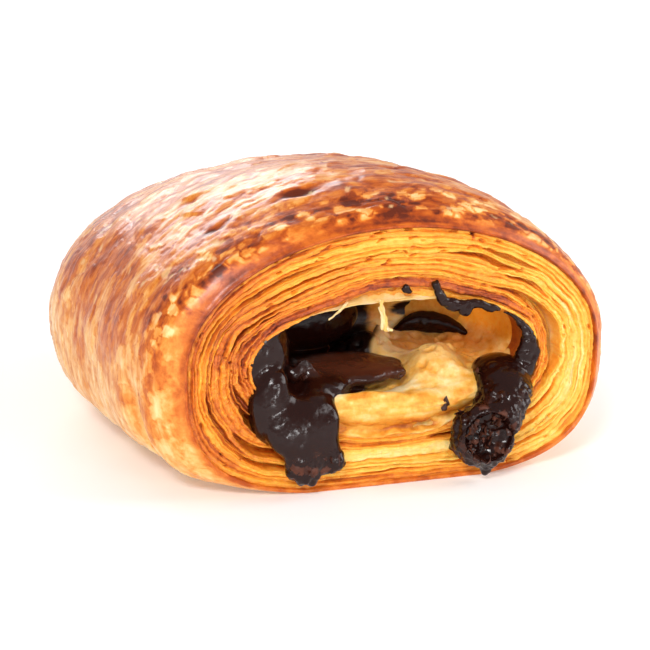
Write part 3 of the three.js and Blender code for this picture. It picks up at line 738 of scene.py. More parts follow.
# Depth and browning of the leaves at shares of the way in: each leaf's own front, grooves between the leaves,
# and steps between the plies in them, all along lines bent by noise. The browning holds painted shade where
# the surface lies back, and painted light in the deep gaps on the right
def leavesRelief(theta, share):
    widths, gaps, depths = leafWidths(theta)
    middles = (leaves["start"] + np.cumsum(widths + gaps, axis=0) - gaps / 2)[:-1]
    round_ = np.stack([ringRadius * np.cos(theta) + 0 * share, ringRadius * np.sin(theta) + 0 * share,
                       share * leaves["thick"]], -1)
    bent = latticeNoise(round_, (7, 7, 4), 35) + 0.5 * latticeNoise(round_, (2.4, 2.4, 2.4), 36) \
        + 0.22 * latticeNoise(round_, (0.9, 0.9, 0.9), 37)
    held = softStep(share, 0.05, 0.2) * softStep(leavesEnd(theta) - share, 0, 0.1)
    share = share + leaves["wander"] * bent * held
    index = (share[None] > middles[:, None]).sum(axis=0)
    each = [leafFront(theta, leaf) for leaf in range(leaves["count"])]
    fronts, browns = (np.vstack(rows) for rows in zip(*each))
    depth, tone = (np.take_along_axis(rows, index, 0) for rows in (fronts, browns))
    limits = np.vstack([leaves["start"] + 0 * theta, middles, leavesEnd(theta)])
    low, high = (np.take_along_axis(limits, index + k, 0) for k in (0, 1))
    across = np.abs(2 * (share - low) / np.maximum(high - low, 0.01) - 1).clip(0, 1) ** 2.6
    firm = 0.25 + 0.75 * softStep(latticeNoise(round_ + 9 * index[..., None], 11, 44), -0.5, 0.4)
    wide = np.clip((high - low) * leaves["thick"] / 1.2, 0.2, 1)
    depth = depth + leaves["roundness"] * firm * across * wide
    # Painted shade: browner towards each leaf's edges, where it rounds back
    tone = tone + 0.07 * across
    groove, shade = 0 * share, 0 * share
    for middle, gap, deep in zip(middles, gaps, depths):
        off = np.abs(share - middle) * leaves["thick"]
        half = 0.2 + gap * leaves["thick"] / 2
        groove = np.maximum(groove, deep * softStep(1.15 * half - off, 0, 0.12 + 0.5 * half))
        # Painted shade in the grooves between leaves, fading out in the widest gaps
        dark = 0.2 * softStep(deep, 0, 0.7) * (1 - 0.8 * softStep(deep, 1.2, 4))
        shade = np.maximum(shade, dark * softStep(1.3 * half - off, 0, 0.8 * half))
    # Plies: steps of their own along the ring, and here and there a fine crease between two
    level = share * leaves["thick"] / leaves["plySize"] \
        + 0.9 * latticeNoise(round_, (9, 9, 2.2), 41) + 0.37 * index
    ply = np.floor(level)
    own = np.stack([round_[..., 0] + ply * 17.3, round_[..., 1] - ply * 9.1, ply * 4.7], -1)
    step = latticeNoise(own, 8, 43) + 0.5 * latticeNoise(own, 2.6, 45) + 0.3 * latticeNoise(own, 0.9, 46)
    parting = np.abs(2 * (level - ply) - 1) ** 4 * softStep(latticeNoise(own, 6, 48), -0.3, 0.5)
    depth = depth + leaves["plyStep"] * step + 0.16 * parting + groove
    # Painted shade: browner where a ply steps back, in the fine creases, in the grooves and where the leaf's
    # front lies set back
    tone = tone + 0.07 * step + 0.09 * parting + shade + 0.08 * softStep(depth - groove, 0.2, 1)
    # Painted light: paler floors of the deep gaps on the right, lifting them out of their shade
    tone = tone - 0.26 * softStep(groove, 1.5, 4) * softStep(np.cos(theta), 0.3, 0.8)
    return depth, tone, round_, softStep(0.5 - groove, 0, 0.4)


# Baked dough: cream to brown by its browning and fine flecks, dull, with soft light inside it
def makeDoughMaterial(name, colours, rough):
    material, tree, shader, place = newMaterial(name)
    brown = addNode(tree, "ShaderNodeAttribute", attribute_name="brown").outputs["Fac"]
    fleck = addNode(tree, "ShaderNodeTexNoise",
                    {"Vector": place, "Scale": 900, "Detail": 5, "Roughness": 0.7})
    shifted = addNode(tree, "ShaderNodeMapRange", {"Value": fleck.outputs["Fac"], "From Min": 0.3,
                                                   "From Max": 0.7, "To Min": -0.1, "To Max": 0.1})
    total = addNode(tree, "ShaderNodeMath", {0: brown, 1: shifted.outputs[0]}, operation="ADD")
    colour = addNode(tree, "ShaderNodeValToRGB", {"Fac": total.outputs[0]}, stops=colours)
    tree.links.new(colour.outputs[0], shader.inputs["Base Color"])
    # Pores of the crumb, 0.15 to 0.6 mm
    pores = addNode(tree, "ShaderNodeTexNoise", {"Vector": place, "Scale": 1700, "Detail": 5,
                                                 "Roughness": 0.65})
    bump = addNode(tree, "ShaderNodeBump", {"Height": pores.outputs["Fac"], "Distance": 0.0003,
                                            "Strength": 0.5})
    tree.links.new(bump.outputs[0], shader.inputs["Normal"])
    shader.inputs["Roughness"].default_value = rough
    shader.inputs["IOR"].default_value = 1.45
    shader.inputs["Subsurface Weight"].default_value = 0.3
    shader.inputs["Subsurface Radius"].default_value = (1.0, 0.55, 0.2)
    shader.inputs["Subsurface Scale"].default_value = 0.002
    return material


# Each ring: points between rim and lip set back by the leaves' depth, with torn bubbles and flakes,
# closed by four hidden rows behind
def makeLeaves():
    theta = np.linspace(0, 2 * np.pi, leaves["columns"], endpoint=False)[None, :]
    material = makeDoughMaterial("laminated dough, baked edge", leaves["colours"], 0.5)
    for number in range(leaves["rings"]):
        part = np.linspace(number, number + 1, leaves["rows"])[:, None] / leaves["rings"]
        share = leaves["start"] + (leavesEnd(theta) - leaves["start"]) * part
        depth, tone, place, front = leavesRelief(theta, share)
        points = facePoint(theta.repeat(len(share), 0), share, depth)
        x, z = points[..., 0], points[..., 2]
        # Torn bubbles and crumbs, drawn out along the ring
        length = ringRadius * theta + 0 * share
        flat = np.stack([length, share * leaves["thick"], 0 * share], -1)
        gap, _, bubbleNumber = cellNoise(flat + 0.5 * latticeNoise(points, 1.2, 43)[..., None],
                                         (2.0, 0.75, 9), 19)
        spongy = softStep(z, 36, 42) * softStep(0.78 - share, 0, 0.15) * 0.85 + 0.1
        bubble = np.where(bubbleNumber > 1 - 0.4 * spongy, softStep(0.5 - gap, 0, 0.22), 0) * front
        torn = roughNoise(flat / (2.2, 1, 1), 0.6, 3, 23)
        flake, _, flakeNumber = cellNoise(flat / (2, 1, 1), 0.75, 47)
        torn = torn - np.where(flakeNumber > 0.66, softStep(0.55 - flake, 0, 0.25), 0)
        points[..., 1] += front * 0.15 * torn + 0.07 * roughNoise(points, 0.8, 2, 25) + 0.7 * bubble
        # Painted shade: browner in the sunken bubbles and torn dents
        tone = tone + 0.07 * roughNoise(points, 7, 3, 27) + 0.16 * bubble + 0.05 * torn
        tone = tone - 0.03 * softStep(z, 36, 42) * softStep(0.7 - share, 0, 0.2)
        tone = tone - 0.17 * softStep(x, 16, 32) * softStep(0.76 - share, 0, 0.1) \
            + 0.06 * softStep(-x, 14, 30) * (1 + share)
        tone = tone + 0.12 * softStep(0.1 - share, 0, 0.05) - 0.16 * softStep(9 - z, 0, 6) \
            + 0.04 * softStep(10 - x, 0, 14) * softStep(z, 6, 14)
        # Crack through the rim, right of its middle, set back and dark red along it
        off = x - leaves["crackX"] - 0.12 * (z - 46) - 0.3 * latticeNoise(points, 1.5, 49)
        crack = np.exp(-(off / 0.42) ** 2) * softStep(z, 42.8, 44.4)
        points[..., 1] += 0.35 * crack
        tone = tone + 0.5 * crack
        inner, outer = share[-1:] + 0.012, share[:1] - 0.012
        backShare = np.vstack([inner, inner, outer, outer])
        backDepth = np.array([3.0, leaves["backDepth"], leaves["backDepth"], 3.0])[:, None] + 0 * theta
        back = facePoint(theta.repeat(4, 0), backShare, backDepth)
        mesh = gridMesh(f"leaves_{number}", np.vstack([points, back]),
                        {"brown": np.vstack([tone, np.full((4, leaves["columns"]), 0.7)])}, ring=True)
        addPiece(f"leaves_{number}", mesh, material, "pastry")


makeLeaves()

# Closed end: a shallow dome with leaves like those of the open end, and the batons' ends among them
farEnd = {
    "columns": 640,
    "rows": 150,
    "edge": 0.992,          # share of the shoulder's length where the dome begins
    "turned": 1.7,          # how far the leaves are turned from the open end's, in radians
    "ridge": 0.9,           # their relief against the open end's
    "deepest": 1.6,         # deepest gap between them, mm
    "inset": 1.7,           # how deep the mouths round the batons' ends are, mm
}
# Batons at the closed end: their middles and half sizes, mm
batonEnds = {"left": -15.5, "right": 14.5, "z": 20.0, "halfWidth": 5.2, "halfHeight": 3.6}


# Points from the middle to the edge by share, lifted to an elliptical dome less the leaves' depth, then the
# mouths sunk round the batons, and a flat hidden back
def makeFarEnd():
    material = makeDoughMaterial("laminated dough, closed end", leaves["colours"], 0.46)
    theta = np.linspace(0, 2 * np.pi, farEnd["columns"], endpoint=False)[None, :]
    share = np.linspace(0.012, 1, farEnd["rows"])[:, None]
    endT = roll["shoulderT"] + (roll["length"] - roll["shoulderT"]) * farEnd["edge"]
    edge = crustPoint(theta, np.array([[endT]]))
    middle = (edge.max(axis=1, keepdims=True) + edge.min(axis=1, keepdims=True)) / 2
    points = middle + (edge - middle) * share[..., None]
    inward = 0.03 + 0.97 * (1 - share) + 0 * theta
    depth, tone, _, _ = leavesRelief((farEnd["turned"] - theta) % (2 * np.pi), inward)
    bulge = 0.3 - farEnd["ridge"] * np.minimum(depth, farEnd["deepest"]) \
        + 0.35 * roughNoise(points, 6, 3, 91) + 0.08 * roughNoise(points, 1.1, 3, 87)
    rim = softStep(1 - share, 0, 0.05)
    dome = (roll["farDome"] + 0.6) * np.sqrt(1 - share ** 2)
    points[..., 1] = roll["faceY"] + endT + 0.2 + dome + bulge * rim
    tone = tone + 0.02 + 0.12 * roughNoise(points, 8, 3, 95) + 0.06 * softStep(share, 0.85, 1)
    # Mouths of the batons' channels, each with a browned edge
    for side in ("left", "right"):
        near = np.hypot((points[..., 0] - batonEnds[side]) / batonEnds["halfWidth"],
                        (points[..., 2] - batonEnds["z"]) / batonEnds["halfHeight"])
        near = near + 0.08 * latticeNoise(points, (2, 9, 2), 97)
        points[..., 1] -= (farEnd["inset"] + bulge) * softStep(0.88 - near, 0, 0.12)
        tone = tone + 0.14 * softStep(1.4 - near, 0, 0.4)
    back = edge + (middle - edge) * np.array([0.04, 0.3, 0.7, 0.96])[:, None, None]
    back[..., 1] = roll["faceY"] + endT - 1.6
    mesh = gridMesh("far_end", np.vstack([points, back]),
                    {"brown": np.vstack([tone, np.full((4, farEnd["columns"]), 0.4)])})
    addPiece("far_end", mesh, material, "pastry")


makeFarEnd()

# Crumb of the cavity: its wall and floor, the puffed tongue under its lip, and a hidden back 2 mm behind them
crumb = {
    "columns": 680,
    "thickness": 2.0,
    "tonguePuff": 2.2,
    "tongueCrest": 2.2,
    "colours": [(0.0, "#fbe2b2"), (0.2, "#f8cd80"), (0.4, "#f0ae48"), (0.58, "#e08b24"), (0.74, "#bf6212"),
                (0.9, "#8a3c0c"), (1.0, "#5a210a")],
    "stain": "#1d0b07",
    "glow": "#f08a10",      # painted glow on the thin wall on the right, standing in for light that would come through it
    "glowStrength": 0.32,
    "sight": (0.37, 0.29),  # how far the camera's line of sight runs to the side and down, per mm inwards
}


# Crumb: soft and moist, dark where chocolate soaked in, and with a painted amber glow where its wall is thin,
# standing in for light coming through it
def makeCrumbMaterial():
    material = makeDoughMaterial("open crumb of buttery dough", crumb["colours"], 0.44)
    tree = material.node_tree
    shader = next(n for n in tree.nodes if n.type == "BSDF_PRINCIPLED")
    stain = addNode(tree, "ShaderNodeAttribute", attribute_name="stain").outputs["Fac"]
    plain = shader.inputs["Base Color"].links[0].from_socket
    mixed = addNode(tree, "ShaderNodeMix", {"Factor": stain, 6: plain, 7: fromHex(crumb["stain"])},
                    data_type="RGBA")
    tree.links.new(mixed.outputs[2], shader.inputs["Base Color"])
    # Painted glow: amber emission, its strength from the glow mark, standing in for light through the thin
    # wall
    shader.inputs["Emission Color"].default_value = fromHex(crumb["glow"])
    glow = addNode(tree, "ShaderNodeAttribute", attribute_name="glow").outputs["Fac"]
    glow = addNode(tree, "ShaderNodeMath", {0: glow, 1: crumb["glowStrength"]}, operation="MULTIPLY")
    tree.links.new(glow.outputs[0], shader.inputs["Emission Strength"])
    wet = addNode(tree, "ShaderNodeMapRange", {"Value": stain, "To Min": 0.44, "To Max": 0.3})
    tree.links.new(wet.outputs[0], shader.inputs["Roughness"])
    return material


# Brim, tongue and wall as one grid: their plain forms, moved along their normals by lumps, pores and
# knobs of crumb
def makeCavity(material):
    columns = crumb["columns"]
    theta = np.linspace(0, 2 * np.pi, columns, endpoint=False)[None, :]
    under = window(theta, leaves["tongueAngle"], 62)
    bend = np.linspace(0, 1, 34)[:, None]
    outer = leavesEnd(theta) - 0.02
    share = outer + (1.0 - outer) * bend
    # Brim: a thin lip all round, and under the cavity a low fold, a hollow browned with painted shade, and
    # the puffed tongue over it
    low = np.exp(-((bend - 0.1) / 0.07) ** 2)
    puff = np.sin(np.pi * np.clip((bend - 0.34) / 0.72, 0, 1)) ** 0.7
    wave = 1 + 0.25 * ringNoise(theta, 2.2, 9, 109)
    depth = 1.5 - under * (0.9 * low + (0.6 + crumb["tonguePuff"]) * puff * wave) \
        - (1 - under) * 0.9 * np.sin(np.pi * np.clip(bend, 0, 1)) ** 0.5
    brim = facePoint(theta.repeat(len(bend), 0), share, depth)
    wallT = np.concatenate([np.linspace(1.3, 28, 84), np.linspace(28.3, 33.6, 24)])[:, None]
    wall = cavityPoint(theta, wallT)
    surface = np.vstack([brim, wall])
    t = surface[..., 1] - roll["faceY"]
    x = surface[..., 0]
    crest = crumb["tongueCrest"] * np.exp(-((x + 6) / 9) ** 2) - 1.3 * np.exp(-((x - 10) / 3.5) ** 2)
    rise = np.vstack([softStep(bend, 0.35, 1) * under, softStep(6.5 - wallT, 0, 6) * under])
    surface[..., 2] += crest * rise
    floorLike = softStep(-np.sin(theta), 0.1, 0.5) + 0 * x
    normal = -outward(surface)
    gap, _, number = cellNoise(surface, (3.0, 2.4, 2.4), 101)
    pore = np.where(number > 0.5, softStep(0.55 - gap, 0, 0.3), 0) * floorLike * softStep(t, 3, 7)
    lumps = roughNoise(surface, 5.5, 4, 103)
    near = softStep(8 - t, 0, 3)
    knobs = roughNoise(surface, (2.6, 1.4, 1.4), 4, 105)
    strands = roughNoise(surface + 0.8 * roughNoise(surface, 5, 2, 121)[..., None], (6, 2.4, 0.9), 3, 119)
    relief = 0.55 * lumps * floorLike + (0.16 + 0.5 * softStep(t, 12, 18)) * lumps - 0.8 * pore \
        + (0.14 + 0.26 * near) * knobs + 0.22 * near * under * strands
    relief[:2] = 0
    surface = surface + relief[..., None] * normal
    z = surface[..., 2]
    onWall = 1 - floorLike
    # The wall browner beyond the lip and on its lumps, and the pores browner as painted shade
    tone = 0.24 + (0.4 - 0.2 * softStep(x, 2, 10)) * onWall * softStep(t, 0.6, 7) \
        + 0.16 * lumps + 0.12 * pore * (1 - softStep(t, 8, 20))
    tone = tone + 0.16 * floorLike * softStep(t, 2, 9) * softStep(20 - z, -1, 3)
    # Painted light and shade near the lip: raised knobs and strands paler, the hollows between them browner
    tone = tone + near * (0.04 + 0.3 * roughNoise(surface, (4, 1.6, 1.6), 4, 107) - 0.28 * knobs
                          - 0.22 * under * strands) \
        - 0.2 * np.exp(-((x - crumb["sight"][0] * t - 1) / 5) ** 2) * softStep(t, 12, 17)
    # Painted shade: orange-brown in the hollow under the puffed tongue. The brim below the cavity is browner
    # too
    hollow = np.exp(-((np.vstack([bend, 0 * wallT + 9]) - 0.3) / 0.17) ** 2) * under
    tone = tone + 0.3 * hollow + 0.1 * under * softStep(0.5 - t, -1, 0.5)
    # Chocolate on the walls: all of the left side to its back, and a patch high on the back wall. Its edges
    # are straight for an eye in front and to the left, so each place is first slid along that line of sight
    seenX, seenZ = x - crumb["sight"][0] * t, z + crumb["sight"][1] * t
    left = softStep(-seenX - 4.6 + 1.8 * roughNoise(surface, 6, 3, 111), -0.6, 0.6)
    stain = left * softStep(t, 1, 3.5) * np.maximum(onWall, softStep(t, 12, 16))
    patch = 1 - np.hypot((seenX - 2.6) / 3.6, (seenZ - 32.6) / 1.5) + 0.4 * lumps
    patch = softStep(patch, 0, 0.2) * softStep(t, 10, 14)
    stain = np.maximum(stain, patch)
    tone = tone - 0.12 * np.exp(-((seenX - 7) / 2.5) ** 2 - ((seenZ - 32) / 1.5) ** 2)
    red = np.exp(-((x - 9.6) / 2.2) ** 2 - ((seenZ - 13.6) / 1.8) ** 2) \
        + np.exp(-(seenX - 18) ** 2 - ((seenZ - 24.5) / 1.8) ** 2)
    tone = tone + 0.34 * red * softStep(roughNoise(surface, 1.6, 3, 113), -0.3, 0.5)
    # Painted glow on the thin wall to the right, away from the chocolate
    glow = (1 - stain) * onWall * softStep(seenX, 3, 14) * softStep(t, 1, 6) \
        * (1 - 0.4 * softStep(seenX, 17, 21))
    hidden = cavityPoint(theta, np.array([33.5, 24, 14, 5, 2.6])[:, None], -crumb["thickness"])
    hidden[0, :, 1] += crumb["thickness"]
    mesh = gridMesh("crumb_cavity", np.vstack([surface[::-1], hidden[::-1]]),
                    {"brown": np.vstack([tone[::-1], np.full((5, columns), 0.5)]),
                     "stain": np.vstack([stain[::-1], np.zeros((5, columns))]),
                     "glow": np.vstack([glow[::-1], np.zeros((5, columns))])})
    addPiece("crumb_cavity", mesh, material, "pastry")


crumbMaterial = makeCrumbMaterial()
makeCavity(crumbMaterial)

# Dark chocolate: it melted in the oven, ran over the lip and set, glossy where it flowed and crumbly where
# it broke
chocolate = {
    "voxel": 0.285,         # mm
    "relax": 10,            # rounds of smoothing, and those of the left side, which ran more smoothly
    "relaxLeft": 70,
    "colour": "#200a06",
    # Dull brown of broken chocolate, also the lighter red-brown that is partly painted sheen
    "dryAndSheenColour": "#542a1a",
    "farLonger": 0.9,       # how much longer the batons' far ends are than the solids', mm
    "farFlat": 96.4,        # distance t where they are broken off flat
}
# Stations of (x, t, z, half width, half height), in mm
leftShelf = [(-21, 12, 16.4, 9, 2.6), (-12, 12, 18, 9, 2.8), (-4, 11, 19.2, 8, 1.8), (3, 8, 19.2, 4, 1.3)]
leftDrip = [(-18.2, 9, 17.2, 6, 2.6), (-18, 3, 18, 6.8, 2.5), (-18, -1.8, 14, 6.8, 2.4),
            (-17, -2.8, 8.8, 5.8, 2.4), (-18.3, -2.8, 4.8, 3.5, 2.2)]
rightMass = [(21.4, 8.5, 17.6, 3.4, 2), (21, 5.5, 18, 4.4, 3), (20.6, 2, 17.6, 5, 3.8),
             (20, -1.5, 15.6, 5, 3.8), (17, -4.5, 11.5, 5, 3.6)]
rightTail = [(15, -4.5, 5, 2.4, 2.4), (15.4, -4.2, 3.4, 1.5, 1.5), (15.5, -4, 2.3, 1, 1)]
rightSmear = [(24, 0.6, 17.5, 2, 2), (25, 0.5, 20.8, 2.2, 1.5), (25.5, 0.4, 23.6, 1.8, 1.2),
              (24.5, 0.3, 26.8, 0.9, 0.8), (22.2, 0.3, 29, 0.5, 0.5), (20.4, 0.3, 29.9, 0.4, 0.4)]
topSmear = [(7, -1, 36.6, 0.6, 0.6), (7.4, -1.1, 35, 0.9, 0.8), (8.8, -1, 33, 1.1, 0.9),
            (11.6, -0.9, 32.2, 1, 0.8), (14, -0.9, 32.4, 0.8, 0.7), (16.6, -0.9, 31.6, 0.9, 0.8),
            (19, -0.9, 30.9, 0.5, 0.5)]
topBlobs = [(6.9, -1, 36.4, 0.9, 0.8, 0.6), (10.2, -1, 32, 1.7, 0.9, 1), (12.6, -0.9, 31.2, 1.2, 0.8, 1.1),
            (14.8, -0.9, 31.9, 1.5, 0.8, 0.7), (17.4, -0.8, 31.1, 1.3, 0.7, 0.8),
            (1.6, -0.1, 35.9, 0.8, 0.6, 0.9), (2.3, -0.1, 35.1, 0.7, 0.5, 0.6)]
backStreak = [(11, 30.6, 19.6, 0.6, 0.7), (15.2, 29, 21.3, 1.3, 2.1), (19.4, 26.6, 21, 1.4, 1.9),
              (23, 23, 19.8, 0.5, 0.5)]


# Rod along a smooth path: an ellipse of the stations' half sizes carried along it, drawn in to a round at
# each end
def rodPoints(stations, sides=28, rows=60, facing=(0, 0, 1)):
    stations = np.array(stations, float)
    place = np.arange(len(stations)) / (len(stations) - 1)
    u = np.linspace(0, 1, rows)
    x, t, z, width, height = (along(np.stack([place, stations[:, k]], -1), u) for k in range(5))
    path = np.stack([x, t + roll["faceY"], z], -1)
    tangent = np.gradient(path, axis=0)
    tangent /= np.linalg.norm(tangent, axis=-1, keepdims=True)
    side = np.cross(tangent, facing)
    side /= np.linalg.norm(side, axis=-1, keepdims=True)
    rise = np.cross(side, tangent)
    turn = np.linspace(0, 2 * np.pi, sides, endpoint=False)[None, :, None]
    shrink = np.sin(np.linspace(0.12, 0.9, 5) * np.pi / 2)
    which = np.concatenate([np.zeros(5, int), np.arange(rows), np.full(5, rows - 1)])
    size = np.concatenate([shrink, np.ones(rows), shrink[::-1]])
    push = np.concatenate([-np.sqrt(1 - shrink ** 2), np.zeros(rows), np.sqrt(1 - shrink[::-1] ** 2)])
    small = np.minimum(width, height)[which]
    middle = path[which] + tangent[which] * (push * small)[:, None]
    return (middle[:, None] + np.cos(turn) * (side[which] * (width[which] * size)[:, None])[:, None]
            + np.sin(turn) * (rise[which] * (height[which] * size)[:, None])[:, None])


# Lump: a ball stretched to three half sizes
def lumpPoints(x, t, z, halfX, halfY, halfZ):
    lift = np.linspace(-0.47, 0.47, 20)[:, None] * np.pi
    turn = np.linspace(0, 2 * np.pi, 28, endpoint=False)[None, :]
    ball = np.stack([np.cos(lift) * np.cos(turn) * halfX, np.cos(lift) * np.sin(turn) * halfY,
                     np.sin(lift) * halfZ + 0 * turn], -1)
    return ball + np.array([x, t + roll["faceY"], z])


# Coat on the cavity's wall between two angles: out along its face, back inside the wall
def coatPoints(fromAngle, toAngle, fromT, toT, thickness, rows=60, around=90):
    t = np.linspace(fromT, toT, rows)[:, None]
    share = np.concatenate([np.linspace(0, 1, around), np.linspace(1, 0, around)[1:-1]])[None, :]
    inside = (np.arange(share.shape[1]) < around)[None, :]
    angle = np.radians(fromAngle + (toAngle - fromAngle) * share)
    taper = np.sin(np.pi * np.clip(share, 0.02, 0.98)) ** 0.35
    return cavityPoint(angle, t, np.where(inside, thickness * taper, -0.8) + 0 * t)


# Fuses closed grids into one skin: joined, remeshed in voxels and relaxed, given with its points and normals
def fuse(name, grids, voxel, relax):
    part = bpy.data.objects.new(name, heapMesh(name, grids))
    scene.collection.objects.link(part)
    remesh = part.modifiers.new("fuse", "REMESH")
    remesh.mode, remesh.voxel_size = "VOXEL", voxel * mm
    smooth = part.modifiers.new("relax", "SMOOTH")
    smooth.factor, smooth.iterations = 0.5, relax
    mesh = bpy.data.meshes.new_from_object(part.evaluated_get(bpy.context.evaluated_depsgraph_get()))
    bpy.data.objects.remove(part)
    mesh.name = name
    return mesh, *meshPoints(mesh)


# Points of a mesh in mm, and its unit normals
def meshPoints(mesh):
    points, normals = np.zeros((2, len(mesh.vertices) * 3))
    mesh.vertices.foreach_get("co", points)
    mesh.vertices.foreach_get("normal", normals)
    return points.reshape(-1, 3) / mm, normals.reshape(-1, 3)


# Puts moved points back into a mesh, with a number per vertex for each mark
def setPoints(mesh, points, marks=None):
    mesh.vertices.foreach_set("co", (points * mm).ravel())
    mesh.polygons.foreach_set("use_smooth", np.ones(len(mesh.polygons), bool))
    setMarks(mesh, marks or {})
    mesh.update()
    return mesh


# Dark chocolate: nearly black and wet-looking where it flowed, dull brown where it broke, and lighter
# red-brown on the shelf's top and the right mass's top, partly thinner chocolate and partly painted sheen
def makeChocolateMaterial():
    material, tree, shader, place = newMaterial("melted dark chocolate")
    dry = addNode(tree, "ShaderNodeAttribute", attribute_name="dry").outputs["Fac"]
    fleck = addNode(tree, "ShaderNodeTexNoise", {"Vector": place, "Scale": 1100, "Detail": 4,
                                                 "Roughness": 0.6})
    # Lighter red-brown mark: partly thinner chocolate, partly painted sheen
    thinAndSheen = addNode(tree, "ShaderNodeAttribute", attribute_name="thinAndSheen").outputs["Fac"]
    browner = addNode(tree, "ShaderNodeMath", {0: dry, 1: thinAndSheen}, operation="MAXIMUM")
    ground = addNode(tree, "ShaderNodeMix", {"Factor": browner.outputs[0], 6: fromHex(chocolate["colour"]),
                                             7: fromHex(chocolate["dryAndSheenColour"])}, data_type="RGBA")
    tree.links.new(ground.outputs[2], shader.inputs["Base Color"])
    spread = addNode(tree, "ShaderNodeMapRange", {"Value": fleck.outputs["Fac"], "From Min": 0.35,
                                                  "From Max": 0.7, "To Min": 0.1, "To Max": 0.24})
    rough = addNode(tree, "ShaderNodeMix", {"Factor": dry, 2: spread.outputs[0], 3: 0.62},
                    data_type="FLOAT")
    tree.links.new(rough.outputs[0], shader.inputs["Roughness"])
    bump = addNode(tree, "ShaderNodeBump", {"Height": fleck.outputs["Fac"], "Distance": 0.0002,
                                            "Strength": 0.25})
    tree.links.new(bump.outputs[0], shader.inputs["Normal"])
    shader.inputs["IOR"].default_value = 1.45
    shader.inputs["Specular IOR Level"].default_value = 0.34
    return material


# Hollow in the front of the right-hand end: its surface is set back by a bowl, full of broken shards
hollow = {"x": 14.9, "z": 9.4, "radius": 4.5, "depth": 4.6}


